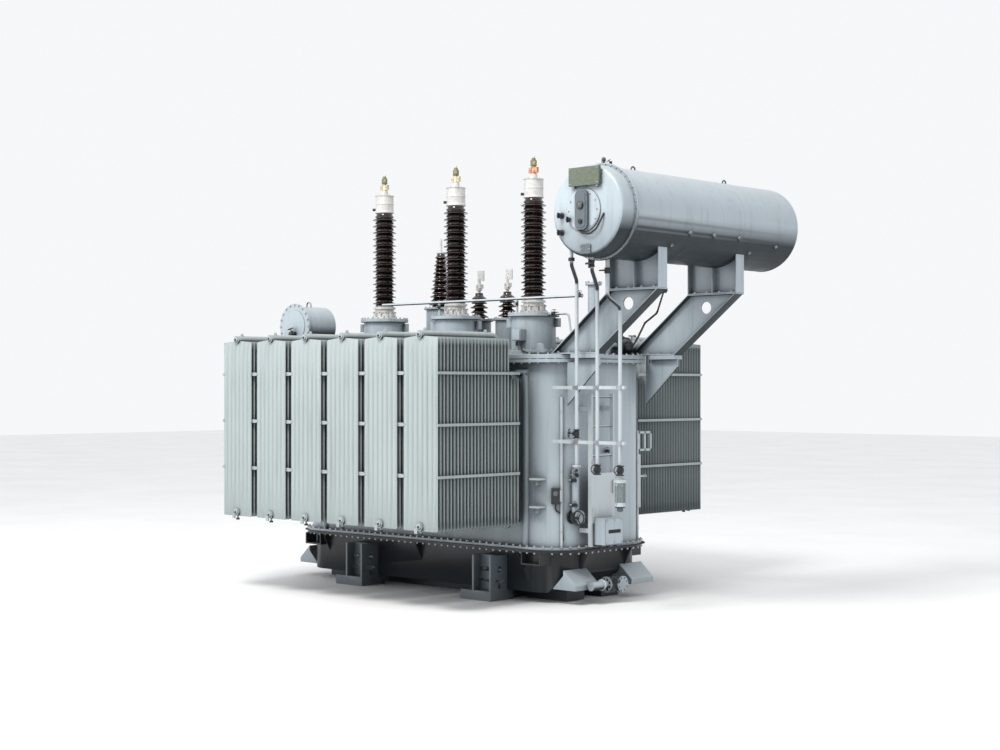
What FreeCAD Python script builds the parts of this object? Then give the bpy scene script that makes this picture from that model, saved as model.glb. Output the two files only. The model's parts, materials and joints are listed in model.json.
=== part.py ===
"""Oil-immersed power transformer with two banks of panel radiators, in millimetres.

Frame: the origin is on the floor, under the middle of the tank. X runs along the tank, towards
the end that carries the oil conservator. The front radiators are on the -Y side. Z is up.
Every driving dimension is a cell of the sheet "Sizes".
"""

import FreeCAD, Part
import math
import os
import re

import Sketcher

SIZES = {
    # base tray, runners and brackets under the flange joint
    "runner_height": 120, "runner_width": 300, "runner_offset": 300, "runner_length": 4000,
    "tray_length": 4300, "tray_width": 1560, "tray_corner": 390, "tray_slope": 200,
    "joint_level": 600, "flange_thickness": 30, "flange_overhang": 110,
    "rib_height": 220, "rib_thickness": 14, "rib_spacing": 1650, "rib_offset": 380,
    "pad_near": 1700, "pad_far": 1990, "pad_depth": 110, "pad_drop": 140, "pad_plate": 18, "pad_root": 60,
    "jack_right": 1245, "jack_left": -900, "jack_width": 290, "jack_reach": 1050,
    "jack_height": 510, "jack_plate": 25, "jack_recess": 120, "jack_foot": 180,
    "jack_foot_height": 110, "jack_hole_radius": 34, "jack_hole_level": 350, "jack_hole_side": 905,
    "jack_slot_level": 235, "jack_slot_width": 120, "jack_slot_height": 30,
    "jack_stem_width": 36, "jack_stem_height": 70,
    "tow_reach": 2330, "tow_foot": 160, "tow_tip": 60, "tow_rise": 60, "tow_offset": 490,
    "tow_width": 400, "tow_plate": 25,
    "drain_level": 205, "drain_radius": 50, "drain_run": 2390, "drain_start": -500,
    "drain_end": -70, "drain_face": 2500, "drain_flange_radius": 92,
    "drain_flange_thickness": 22, "drain_pitch_radius": 72.5, "drain_hole_radius": 9,
    "drain_valve_length": 120, "drain_valve_radius": 88,
    # tank, cover and wall stiffeners
    "tank_length": 4400, "tank_width": 1600, "tank_corner": 400,
    "rim_level": 2680, "rim_thickness": 40, "rim_overhang": 100, "cover_thickness": 50,
    "frame_radius": 42, "frame_span": 1700, "frame_top": 2570,
    "cover_lug_radius": 70, "cover_lug_plate": 30, "cover_lug_offset": 1700,
    "cover_lug_side": 560, "cover_lug_height": 130,
    # radiators
    "radiator_pitch": 623, "radiator_width": 520, "radiator_outer": 2310,
    "panel_pitch": 52, "panel_thickness": 20, "panel_bottom": 880, "panel_top": 2930,
    "panel_short_top": 2500, "panel_crown": 50, "crown_width": 150,
    "header_radius": 55, "header_level": 2975, "header_low": 935, "header_plug": 25,
    "neck_level": 2480, "neck_bend": 90, "neck_clearance": 28,
    "pipe_flange_radius": 105, "pipe_flange_thickness": 24,
    "valve_radius": 75, "valve_length": 90, "tie_height": 30, "tie_thickness": 12,
    "tie_level": 1455, "tie_pitch": 550,
    # high-voltage bushings
    "hv_spacing": 1270, "hv_side": -200, "turret_radius": 260, "turret_height": 450,
    "turret_foot_radius": 295, "turret_foot_height": 60, "turret_top_radius": 300,
    "turret_top_height": 40, "sleeve_radius": 118, "sleeve_height": 160, "sleeve_waist": 104,
    "sleeve_flange_radius": 160, "sleeve_flange_height": 25,
    "hv_core_radius": 102, "hv_length": 1180, "shed_pitch": 80, "shed_radius": 150,
    "shed_small_radius": 132, "shed_thickness": 24, "shed_droop": 14, "shed_root": 2,
    "collar_height": 26,
    "head_radius": 113, "head_height": 220, "head_rim": 9, "boss_radius": 45, "boss_height": 60,
    "stud_radius": 15, "stud_length": 210,
    # neutral and low-voltage bushings
    "neutral_offset": -1063, "neutral_side": 600, "neutral_turret_radius": 190,
    "neutral_turret_height": 630, "neutral_length": 700, "neutral_foot_shed": 158,
    "neutral_top_shed": 80, "neutral_foot_core": 112, "neutral_top_core": 54,
    "neutral_stud_radius": 16, "neutral_stud_length": 195, "neutral_cap_height": 20,
    "neutral_cap_radius": 60, "neutral_foot_flange": 225, "neutral_top_flange": 220,
    "neutral_shed_height": 50,
    "lv_offset": 109, "lv_spacing": 486, "lv_side": 600, "lv_turret_radius": 150, "lv_turret_height": 460,
    "lv_turret_rim": 30, "lv_length": 330, "lv_core_radius": 62, "lv_shed_radius": 118,
    "lv_shed_pitch": 70, "lv_shed_height": 56, "lv_first_shed": 20,
    "lv_stem_radius": 20, "lv_stem_length": 150, "lv_stem_overlap": 40, "lv_palm_width": 110,
    "lv_palm_shift": 30,
    "lv_palm_height": 130, "lv_palm_thickness": 14,
    # oil conservator and what carries it
    "cons_offset": 3190, "cons_level": 4220, "cons_radius": 475, "cons_wall": 8,
    "cons_cover_face": -1510, "cons_joint": -1290, "cons_seam": 1640, "cons_dome": 165,
    "cons_flange": 30, "cons_flange_thickness": 16, "cons_knuckle": 45, "cons_knuckle_step": 13,
    "saddle_front": 667, "saddle_rear": 727, "saddle_width": 150, "saddle_plate": 12,
    "saddle_near": 2850, "saddle_far": 3520, "saddle_foot": 3450, "saddle_rise": 480,
    "strut_foot_near": 2010, "strut_foot_far": 2660, "strut_flange": 150, "strut_plate": 14,
    "strut_slope_plate": 20,
    "strut_hole_radius": 67, "strut_hole_offset": 3060, "strut_hole_level": 3300,
    "bracket_reach": 2660, "bracket_plate": 20, "bracket_depth": 480, "bracket_width": 150,
    "bracket_lip": 85,
    # oil, gas and breather pipes
    "relay_offset": 2020, "relay_side": 480, "relay_level": 2880, "relay_radius": 90,
    "relay_length": 200, "relay_flange_radius": 105, "relay_flange_thickness": 22,
    "oil_pipe_radius": 40, "oil_pipe_top": 3790, "oil_pipe_reach": 250, "oil_pipe_inset": 190,
    "oil_pipe_far": 850, "oil_pipe_elbow": 3500, "oil_pipe_bend": 85,
    "riser_offset": 1960, "riser_side": 60, "riser_radius": 65,
    "riser_height": 830, "riser_foot_radius": 105, "riser_foot_height": 25,
    "riser_cap_radius": 95, "riser_cap_height": 30,
    "gas_pipe_radius": 16, "gas_pipe_level": 3420, "gas_pipe_near": -1000, "gas_pipe_far": 2250,
    "gas_pipe_side": -480,
    "side_pipe_plane": -860, "side_pipe_radius": 20, "side_pipe_bend": 60,
    "side_pipe_first": 2495, "side_pipe_first_top_x": 2887, "side_pipe_first_top_y": -1400,
    "side_pipe_first_top": 3870, "side_pipe_first_elbow": 3680, "side_pipe_first_shoulder": 3560,
    "side_pipe_first_foot": 1550,
    "side_pipe_second": 2785, "side_pipe_second_top_x": 3166, "side_pipe_second_top_y": -1400,
    "side_pipe_second_top": 3770, "side_pipe_second_elbow": 3610,
    "side_pipe_second_shoulder": 3476, "side_pipe_second_foot": 1580,
    "side_pipe_third": 3100, "side_pipe_third_top_x": 3205, "side_pipe_third_top_y": -1200,
    "side_pipe_third_top": 3770, "side_pipe_third_elbow": 3350, "side_pipe_third_shoulder": 3250,
    "side_pipe_third_foot": 1540,
    "pipe_bar_high": 2400, "pipe_bar_low": 1810, "pipe_bar_size": 36, "pipe_bar_near": 2164,
    "pipe_bar_far": 3170, "pipe_stay_start": -450,
    "breather_radius": 52, "breather_top": 1560, "breather_foot": 1130,
    "breather_rim_radius": 62, "breather_cap_height": 40, "breather_foot_height": 50,
    # ladder, cable box and manhole on the cover
    "ladder_offset": 2330, "ladder_near": -475, "ladder_far": -76, "ladder_foot": 640,
    "ladder_top": 2330, "rail_width": 50, "rail_depth": 25, "rung_radius": 12, "rung_pitch": 325,
    "rung_first": 995, "guard_foot": 900, "guard_top": 1450, "guard_thickness": 4,
    "stay_low": 790, "stay_high": 2140, "stay_height": 50,
    "box_near": -430, "box_far": -110, "box_foot": 660, "box_top": 960, "box_depth": 150,
    "manhole_offset": -2050, "manhole_level": 3170, "manhole_radius": 250,
    "manhole_near": -1020, "manhole_far": -550, "manhole_rim": 35, "manhole_rim_thickness": 24,
    "manhole_neck_radius": 150,
}

RADIATORS_A_SIDE = 6
PANELS = 25
SHORT_PANELS = 3
HV_SHEDS = 14
NEUTRAL_SHEDS = 12
LV_SHEDS = 4
SMALL_SHED_SHARE = 0.88
FIRST_SHED_SHARE = 0.02
SHED_ROOT_SHARE = 0.9
PHASES = 3
DRAIN_HOLES = 8
BORE_EXTRA = 1
COVER_TOP = "rim_level + rim_thickness + cover_thickness"

doc = FreeCAD.newDocument("power_transformer")
SUB_PARTS = []


# ---------------------------------------------------------------- the sheet and its formulas

def fill_sheet():
    sheet = doc.addObject("Spreadsheet::Sheet", "Sizes")
    for row, (name, value) in enumerate(SIZES.items(), start=1):
        sheet.set("A%d" % row, name)
        sheet.set("B%d" % row, str(value))
        sheet.setAlias("B%d" % row, name)
    doc.recompute()
    return sheet


def formula(text):
    """The text as an expression of the document, where each name of a cell is read from the sheet."""
    def from_sheet(word):
        return "Sizes." + word[0] if word[0] in SIZES else word[0]
    return re.sub(r"[a-z_]+", from_sheet, str(text))


def bind(item, **properties):
    for name, text in properties.items():
        item.setExpression(name, formula(text))
    return item


def place(item, x=0, y=0, z=0):
    for axis, text in (("x", x), ("y", y), ("z", z)):
        item.setExpression("Placement.Base." + axis, formula(text))
    return item


def turn(item, axis, degrees):
    item.Placement.Rotation = FreeCAD.Rotation(FreeCAD.Vector(*axis), degrees)
    return item


def along(item, axis):
    """Turns a shape that is made along +Z, so that it runs along the named axis."""
    if axis == "x":
        turn(item, (0, 1, 0), 90)
    if axis == "y":
        turn(item, (1, 0, 0), -90)
    return item


# ---------------------------------------------------------------- solids from primitives

def new(kind, name):
    return doc.addObject(kind, name)


def box(name, x, y, z):
    """A box; each of x, y and z is a pair of formulas, its low and its high side."""
    item = new("Part::Box", name)
    bind(item, Length="(%s) - (%s)" % (x[1], x[0]), Width="(%s) - (%s)" % (y[1], y[0]),
         Height="(%s) - (%s)" % (z[1], z[0]))
    return place(item, x[0], y[0], z[0])


def cylinder(name, radius, length, x=0, y=0, z=0, axis="z"):
    item = new("Part::Cylinder", name)
    bind(item, Radius=radius, Height=length)
    along(item, axis)
    return place(item, x, y, z)


def cone(name, foot_radius, top_radius, height, x=0, y=0, z=0):
    item = new("Part::Cone", name)
    bind(item, Radius1=foot_radius, Radius2=top_radius, Height=height)
    return place(item, x, y, z)


def joined(name, items):
    item = new("Part::MultiFuse", name)
    item.Shapes = items
    item.Refine = True
    return item


def cut(name, base, tool):
    item = new("Part::Cut", name)
    item.Base = base
    item.Tool = tool
    return item


def separate(name, items):
    """Like pieces that don't touch, in one sub-part."""
    item = new("Part::Compound", name)
    item.Links = items
    return item


def copy_of(item, name, x, y, z, half_turn=False):
    """One more of a piece that was made about its own origin, at its own place."""
    twin = separate(name + "_copy", [item])
    if half_turn:
        turn(twin, (0, 0, 1), 180)
    return place(twin, x, y, z)


def sub_part(item, label):
    item.Label = label
    SUB_PARTS.append(item)
    return item


# ---------------------------------------------------------------- bodies from sketches

def origin_item(body, role):
    return next(item for item in body.Origin.OriginFeatures if item.Role == role)


def sketch_on(body, name, plane, offset="0"):
    """A sketch on an origin plane of its own body; the offset runs along the plane's normal."""
    sketch = body.newObject("Sketcher::SketchObject", name)
    sketch.AttachmentSupport = [(origin_item(body, plane), "")]
    sketch.MapMode = "FlatFace"
    sketch.setExpression("AttachmentOffset.Base.z", formula(offset))
    return sketch


def hold(sketch, item, point, across, up):
    """Ties a point of the sketch's geometry to formulas for its two coordinates."""
    for kind, text in (("DistanceX", across), ("DistanceY", up)):
        index = sketch.addConstraint(Sketcher.Constraint(kind, -1, 1, item, point, 1.0))
        sketch.setExpression("Constraints[%d]" % index, formula(text))


def draw_outline(sketch, corners):
    """A closed outline with straight sides; each corner is a pair of formulas."""
    first = sketch.GeometryCount
    count = len(corners)
    start = [FreeCAD.Vector(math.cos(math.tau * k / count), math.sin(math.tau * k / count), 0)
             for k in range(count)]
    for k in range(count):
        sketch.addGeometry(Part.LineSegment(start[k], start[(k + 1) % count]))
    for k in range(count):
        sketch.addConstraint(
            Sketcher.Constraint("Coincident", first + k, 2, first + (k + 1) % count, 1))
    for k, (across, up) in enumerate(corners):
        hold(sketch, first + k, 1, across, up)


def draw_circle(sketch, radius, across="0", up="0"):
    index = sketch.addGeometry(Part.Circle(FreeCAD.Vector(1, 1, 0), FreeCAD.Vector(0, 0, 1), 1))
    hold(sketch, index, 3, across, up)
    size = sketch.addConstraint(Sketcher.Constraint("Radius", index, 1.0))
    sketch.setExpression("Constraints[%d]" % size, formula(radius))


def pad(body, sketch, length, reverse=False, middle=False):
    item = body.newObject("PartDesign::Pad", "Pad")
    item.Profile = sketch
    item.Reversed = reverse
    if middle:
        item.SideType = "Symmetric"
    bind(item, Length=length)
    body.Tip = item
    return item


def spin(body, sketch, axis="V_Axis"):
    """Revolves a half outline about an axis of its sketch."""
    item = body.newObject("PartDesign::Revolution", "Revolution")
    item.Profile = sketch
    item.ReferenceAxis = (sketch, [axis])
    item.Angle = 360
    body.Tip = item
    return item


def repeat(body, feature, plane, pitch, count, reverse=False):
    """Repeats a feature along the normal of an origin plane."""
    item = body.newObject("PartDesign::LinearPattern", "Pattern")
    item.Originals = [feature]
    item.Direction = (origin_item(body, plane), [""])
    item.Reversed = reverse
    item.Occurrences = count
    bind(item, Length="(%s) * %d" % (pitch, count - 1))
    body.Tip = item
    return item


def bore(body, sketch, length, reverse=False, middle=False):
    """Cuts the outline out of the body, and checks that it took something away."""
    doc.recompute()
    before = body.Shape.Volume
    item = body.newObject("PartDesign::Pocket", "Pocket")
    item.Profile = sketch
    item.Reversed = reverse
    if middle:
        item.SideType = "Symmetric"
    bind(item, Length=length)
    body.Tip = item
    doc.recompute()
    if body.Shape.Volume >= before:
        raise RuntimeError("pocket cuts nothing in " + body.Name)
    return item


def upright_edges(feature, half_long, half_wide):
    """Names of the upright edges at the four corners of a slab."""
    near = 1.0
    found = []
    for number, edge in enumerate(feature.Shape.Edges, start=1):
        middle = edge.CenterOfMass
        ends = [vertex.Point for vertex in edge.Vertexes]
        upright = len(ends) == 2 and abs(ends[0].z - ends[1].z) > near
        at_corner = abs(abs(middle.x) - half_long) < near and abs(abs(middle.y) - half_wide) < near
        if upright and at_corner:
            found.append("Edge%d" % number)
    return found


def rounded_slab(body, name, length, width, corner, foot, height):
    """Pads a rectangle about the Z axis and rounds its four upright corners."""
    sketch = sketch_on(body, name + "_outline", "XY_Plane", foot)
    half_long = "(%s) / 2" % length
    half_wide = "(%s) / 2" % width
    draw_outline(sketch, [("-" + half_long, "-" + half_wide), (half_long, "-" + half_wide),
                          (half_long, half_wide), ("-" + half_long, half_wide)])
    slab = pad(body, sketch, height)
    doc.recompute()
    span = sketch.Shape.BoundBox
    item = body.newObject("PartDesign::Fillet", "Fillet")
    item.Base = (slab, upright_edges(slab, span.XMax, span.YMax))
    bind(item, Radius=corner)
    body.Tip = item
    doc.recompute()
    return item


def new_body(name):
    return new("PartDesign::Body", name)


# ---------------------------------------------------------------- pipes

def value(name):
    return float(SHEET.get(name))


def pipe_path(points, bend):
    """Straight runs through the points, with a tangent arc of radius bend at each inner point."""
    edges = []
    start = points[0]
    for before, corner, after in zip(points, points[1:], points[2:]):
        inward = (before - corner).normalize()
        outward = (after - corner).normalize()
        half_turn = (math.pi - inward.getAngle(outward)) / 2
        reach = bend * math.tan(half_turn)
        arc_start = corner + inward * reach
        arc_end = corner + outward * reach
        bisector = (inward + outward).normalize()
        centre = corner + bisector * (bend / math.cos(half_turn))
        arc_middle = centre - bisector * bend
        edges.append(Part.LineSegment(start, arc_start).toShape())
        edges.append(Part.Arc(arc_start, arc_middle, arc_end).toShape())
        start = arc_end
    edges.append(Part.LineSegment(start, points[-1]).toShape())
    return Part.Wire(edges)


def pipe_solid(points, radius, bend):
    """A round bar along straight runs and tangent arcs, made run by run."""
    points = [FreeCAD.Vector(*point) for point in points]
    path = pipe_path(points, bend)
    start = points[0]
    heading = points[1] - points[0]
    section = Part.Wire([Part.Circle(start, heading, radius).toShape()])
    solid = path.makePipeShell([section], True, False)
    expected = math.pi * radius ** 2 * path.Length
    if not solid.isValid() or abs(solid.Volume - expected) > 0.02 * expected:
        raise RuntimeError("pipe volume is wrong")
    return solid


# ---------------------------------------------------------------- base

def base_tray():
    """Oil tray under the flange joint, with bevelled ends, on two runners and a cross bearer."""
    body = new_body("base_tray")
    rounded_slab(body, "tray", "tray_length", "tray_width", "tray_corner", "runner_height",
                 "joint_level - flange_thickness - runner_height")
    bevel = sketch_on(body, "end_bevel", "XZ_Plane")
    for side in ("", "-"):
        half = side + "(tray_length / 2 + %d)" % BORE_EXTRA
        inner = side + "(tray_length / 2 - tray_slope)"
        draw_outline(bevel, [(inner, "runner_height - %d" % BORE_EXTRA),
                             (half, "runner_height - %d" % BORE_EXTRA),
                             (half, "runner_height + tray_slope")])
    bore(body, bevel, "tray_width + 2", middle=True)
    rounded_slab(body, "flange", "tray_length + 2 * flange_overhang",
                 "tray_width + 2 * flange_overhang", "tray_corner + flange_overhang",
                 "joint_level - flange_thickness", "flange_thickness")
    runners = sketch_on(body, "runners", "XY_Plane")
    for side in ("", "-"):
        inner = side + "(runner_offset - runner_width / 2)"
        outer = side + "(runner_offset + runner_width / 2)"
        half = "runner_length / 2"
        draw_outline(runners, [("-(%s)" % half, inner), (half, inner), (half, outer),
                               ("-(%s)" % half, outer)])
    pad(body, runners, "runner_height + %d" % BORE_EXTRA)
    bearer = sketch_on(body, "cross_bearer", "XY_Plane")
    side = "runner_width / 2"
    draw_outline(bearer, [("-" + side, "-(runner_offset)"), (side, "-(runner_offset)"),
                          (side, "runner_offset"), ("-" + side, "runner_offset")])
    pad(body, bearer, "runner_height + %d" % BORE_EXTRA)
    flange_ribs(body)
    flange_pads(body)
    sub_part(body, "base_tray")


def flange_ribs(body):
    """Three-cornered ribs between the tray's walls and the underside of its flange."""
    top = "joint_level - flange_thickness"
    foot = top + " - rib_height"
    for plane, wall, places in (
            ("YZ_Plane", "tray_width / 2", ["%d * rib_spacing" % k for k in (-1, 0, 1)]),
            ("XZ_Plane", "tray_length / 2", ["-(rib_offset)", "rib_offset"])):
        for offset in places:
            ribs = sketch_on(body, "ribs", plane, offset)
            for side in ("", "-"):
                inner = side + "(%s - %d)" % (wall, BORE_EXTRA)
                outer = side + "(%s + flange_overhang)" % wall
                draw_outline(ribs, [(inner, foot), (outer, top), (inner, top)])
            pad(body, ribs, "rib_thickness", middle=True)


def flange_pads(body):
    """Small lifting seats of two cheeks and a floor, under the flange near the tray's corners."""
    top = "joint_level - flange_thickness"
    foot = top + " - pad_drop"
    for y_sign in (-1, 1):
        wall = "%d * (tray_width / 2 - pad_root)" % y_sign
        outer = "%d * (tray_width / 2 + pad_depth)" % y_sign
        seats = sketch_on(body, "seat_cheeks", "XY_Plane", foot)
        floors = sketch_on(body, "seat_floors", "XY_Plane", foot)
        for x_sign in (-1, 1):
            near = "%d * pad_near" % x_sign
            far = "%d * pad_far" % x_sign
            inset = "%d * pad_plate" % x_sign
            for start, end in ((near, near + " + " + inset), (far + " - (%s)" % inset, far)):
                draw_outline(seats, [(start, wall), (end, wall), (end, outer), (start, outer)])
            draw_outline(floors, [(near, wall), (far, wall), (far, outer), (near, outer)])
        pad(body, seats, "pad_drop")
        pad(body, floors, "pad_plate")


def jacking_bracket(name, middle, y_sign):
    """Two side plates with a haulage hole and a slot, a recessed web, and a long foot."""
    body = new_body(name)
    wall = "%d * (tray_width / 2)" % y_sign
    reach = "%d * jack_reach" % y_sign
    recess = "%d * (jack_reach - jack_recess)" % y_sign
    low = middle + " - jack_width / 2"
    high = middle + " + jack_width / 2"
    inset = "tray_slope / 2"
    inner = "%d * (tray_width / 2 - tray_slope / 2)" % y_sign
    cheeks = sketch_on(body, "cheeks", "XY_Plane")
    for start, end in ((low, low + " + jack_plate"), (high + " - jack_plate", high)):
        draw_outline(cheeks, [(start, inner), (end, inner), (end, reach), (start, reach)])
    pad(body, cheeks, "jack_height")
    web = sketch_on(body, "web", "XY_Plane")
    draw_outline(web, [(low, inner), (high, inner), (high, recess), (low, recess)])
    pad(body, web, "jack_height")
    foot = sketch_on(body, "foot", "XY_Plane")
    draw_outline(foot, [(low + " - jack_foot", inner), (high, inner), (high, reach),
                        (low + " - jack_foot", reach)])
    pad(body, foot, "jack_foot_height")
    openings = sketch_on(body, "openings", "YZ_Plane", middle)
    side = "%d * jack_hole_side" % y_sign
    draw_circle(openings, "jack_hole_radius", side, "jack_hole_level")
    slot_top = "jack_slot_level"
    slot_foot = "jack_slot_level - jack_slot_height"
    stem_foot = slot_foot + " - jack_stem_height"
    half_slot = "jack_slot_width / 2"
    half_stem = "jack_stem_width / 2"
    draw_outline(openings, [
        ("%s - %s" % (side, half_slot), slot_top), ("%s - %s" % (side, half_slot), slot_foot),
        ("%s - %s" % (side, half_stem), slot_foot), ("%s - %s" % (side, half_stem), stem_foot),
        ("%s + %s" % (side, half_stem), stem_foot), ("%s + %s" % (side, half_stem), slot_foot),
        ("%s + %s" % (side, half_slot), slot_foot), ("%s + %s" % (side, half_slot), slot_top)])
    bore(body, openings, "2 * jack_width", middle=True)
    return body


def jacking_brackets():
    for side, y_sign in (("front", -1), ("rear", 1)):
        pair = [jacking_bracket("jack_%s_%s" % (side, middle), middle, y_sign)
                for middle in ("jack_left", "jack_right")]
        sub_part(separate("jacks_" + side, pair), "jacking_brackets_" + side)


def towing_gussets():
    """At each end two towing lugs: cheeks with an eye, tied by a plate along their slope."""
    for end, x_sign in (("right", 1), ("left", -1)):
        lugs = []
        wall = "%d * (tray_length / 2)" % x_sign
        level = "runner_height + tray_slope"
        for y_sign in (-1, 1):
            body = new_body("tow_%s_%d" % (end, y_sign))
            reach = "%d * tow_reach" % x_sign
            foot = "%d * (tray_length / 2 - tray_slope + tow_foot - runner_height)" % x_sign
            corners = [(foot, "tow_foot"), (reach, "tow_foot"), (reach, "tow_foot + tow_tip"),
                       (wall, level + " + tow_rise"), (wall, level)]
            for cheek in (-1, 1):
                offset = "%d * (tow_offset + %d * (tow_width - tow_plate) / 2)" % (-y_sign, cheek)
                plate = sketch_on(body, "cheek", "XZ_Plane", offset)
                draw_outline(plate, corners)
                pad(body, plate, "tow_plate", middle=True)
            slope = sketch_on(body, "slope", "XZ_Plane", "%d * tow_offset" % -y_sign)
            draw_outline(slope, [(reach, "tow_foot"), (reach, "tow_foot + tow_tip"),
                                 (wall, level + " + tow_rise"),
                                 (wall, level + " + tow_rise - tow_tip")])
            pad(body, slope, "tow_width", middle=True)
            lugs.append(body)
        sub_part(separate("tow_" + end, lugs), "towing_gussets_" + end)


def drain_valve():
    """Drain pipe along the end of the tray, its valve, and a bolted flange that faces outwards."""
    body = new_body("drain_valve")
    run = sketch_on(body, "run", "XZ_Plane", "-(drain_start)")
    draw_circle(run, "drain_radius", "drain_run", "drain_level")
    pad(body, run, "drain_end - drain_start", reverse=True)
    root = sketch_on(body, "root", "YZ_Plane", "tray_length / 2 - tray_slope")
    draw_circle(root, "drain_radius * 0.9", "drain_start + drain_radius", "drain_level")
    pad(body, root, "drain_run - tray_length / 2 + tray_slope")
    valve = sketch_on(body, "valve", "XZ_Plane", "-(drain_end) + drain_radius")
    draw_circle(valve, "drain_valve_radius", "drain_run", "drain_level")
    pad(body, valve, "drain_valve_length")
    outlet = sketch_on(body, "outlet", "YZ_Plane", "drain_run")
    draw_circle(outlet, "drain_radius * 0.9", "drain_end", "drain_level")
    pad(body, outlet, "drain_face - drain_run")
    flange = sketch_on(body, "flange", "YZ_Plane", "drain_face - drain_flange_thickness")
    draw_circle(flange, "drain_flange_radius", "drain_end", "drain_level")
    pad(body, flange, "drain_flange_thickness")
    holes = sketch_on(body, "holes", "YZ_Plane", "drain_face")
    for k in range(DRAIN_HOLES):
        angle = "(%d + 0.5) * 360 / %d * 1deg" % (k, DRAIN_HOLES)
        draw_circle(holes, "drain_hole_radius", "drain_end + drain_pitch_radius * cos(%s)" % angle,
                    "drain_level + drain_pitch_radius * sin(%s)" % angle)
    bore(body, holes, "drain_flange_thickness")
    sub_part(body, "drain_valve")


# ---------------------------------------------------------------- tank

def tank_body():
    """Bell of the tank with its two flanges: a closed housing, so it is solid."""
    body = new_body("tank_body")
    rounded_slab(body, "wall", "tank_length", "tank_width", "tank_corner", "joint_level",
                 "rim_level - joint_level")
    rounded_slab(body, "foot_flange", "tray_length + 2 * flange_overhang",
                 "tray_width + 2 * flange_overhang", "tray_corner + flange_overhang",
                 "joint_level", "flange_thickness")
    rounded_slab(body, "rim", "tank_length + 2 * rim_overhang", "tank_width + 2 * rim_overhang",
                 "tank_corner + rim_overhang", "rim_level", "rim_thickness")
    frame_foot = "joint_level + flange_thickness"
    sides = sketch_on(body, "frame_posts", "XY_Plane", frame_foot)
    for y_sign in (-1, 1):
        for x_sign in (-1, 1):
            draw_circle(sides, "frame_radius", "%d * frame_span" % x_sign,
                        "%d * tank_width / 2" % y_sign)
    pad(body, sides, "frame_top - (%s)" % frame_foot)
    beams = sketch_on(body, "frame_beams", "YZ_Plane", "-(frame_span) - frame_radius")
    for y_sign in (-1, 1):
        draw_circle(beams, "frame_radius", "%d * tank_width / 2" % y_sign, "frame_top")
    pad(body, beams, "2 * frame_span + 2 * frame_radius")
    sub_part(body, "tank_body")


def tank_cover():
    """Flat cover with four lifting lugs."""
    body = new_body("tank_cover")
    rounded_slab(body, "plate", "tank_length + 2 * rim_overhang", "tank_width + 2 * rim_overhang",
                 "tank_corner + rim_overhang", "rim_level + rim_thickness", "cover_thickness")
    for y_sign in (-1, 1):
        lugs = sketch_on(body, "lugs", "XZ_Plane", "%d * cover_lug_side" % -y_sign)
        for x_sign in (-1, 1):
            middle = "%d * cover_lug_offset" % x_sign
            foot = "%s - %d" % (COVER_TOP, BORE_EXTRA)
            draw_outline(lugs, [(middle + " - cover_lug_radius", foot),
                                (middle + " + cover_lug_radius", foot),
                                (middle + " + cover_lug_radius / 2", foot + " + cover_lug_height"),
                                (middle + " - cover_lug_radius / 2", foot + " + cover_lug_height")])
        pad(body, lugs, "cover_lug_plate", middle=True)
    sub_part(body, "tank_cover")


# ---------------------------------------------------------------- radiators

def radiator_stack():
    """A stack of pressed panels on two headers, with tie bars; made from its outer face inwards."""
    body = new_body("radiator_stack")
    half = "radiator_width / 2"
    crown = "crown_width / 2"
    panel = sketch_on(body, "panel", "XZ_Plane")
    draw_outline(panel, [("-" + half, "panel_bottom"), (half, "panel_bottom"), (half, "panel_top"),
                         (crown, "panel_top + panel_crown"), ("-" + crown, "panel_top + panel_crown"),
                         ("-" + half, "panel_top")])
    long_panel = pad(body, panel, "panel_thickness", reverse=True)
    repeat(body, long_panel, "XZ_Plane", "panel_pitch", PANELS - SHORT_PANELS, reverse=True)
    short_start = "panel_pitch * %d" % (PANELS - SHORT_PANELS)
    short = sketch_on(body, "short_panel", "XZ_Plane", "-(%s)" % short_start)
    draw_outline(short, [("-" + half, "panel_bottom"), (half, "panel_bottom"),
                         (half, "panel_short_top"), ("-" + half, "panel_short_top")])
    short_panel = pad(body, short, "panel_thickness", reverse=True)
    repeat(body, short_panel, "XZ_Plane", "panel_pitch", SHORT_PANELS, reverse=True)
    depth = "panel_pitch * %d + panel_thickness" % (PANELS - 1)
    low = sketch_on(body, "low_header", "XZ_Plane", "header_plug")
    draw_circle(low, "header_radius", "0", "header_low")
    pad(body, low, depth + " + header_plug", reverse=True)
    bars = sketch_on(body, "tie_bars", "XZ_Plane")
    for level in range(3):
        middle = "tie_level + tie_pitch * %d" % level
        low_edge = middle + " - tie_height / 2"
        high_edge = middle + " + tie_height / 2"
        for side in ("", "-"):
            inner = side + "(radiator_width / 2 - 1)"
            outer = side + "(radiator_width / 2 + tie_thickness)"
            draw_outline(bars, [(inner, low_edge), (outer, low_edge), (outer, high_edge),
                                (inner, high_edge)])
    pad(body, bars, depth, reverse=True)
    return joined("radiator_whole", [body, radiator_neck()])


def radiator_neck():
    """Upper header: it runs over the long panels, then turns down to the short ones."""
    pitch = value("panel_pitch")
    turn_y = pitch * (PANELS - SHORT_PANELS) + value("neck_clearance")
    inner_y = pitch * (PANELS - 1) + value("panel_thickness")
    high = value("header_level")
    low = value("neck_level")
    points = [(0, -value("header_plug"), high), (0, turn_y, high), (0, turn_y, low), (0, inner_y, low)]
    item = new("Part::Feature", "radiator_neck")
    item.Shape = pipe_solid(points, value("header_radius"), value("neck_bend"))
    return item


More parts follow.
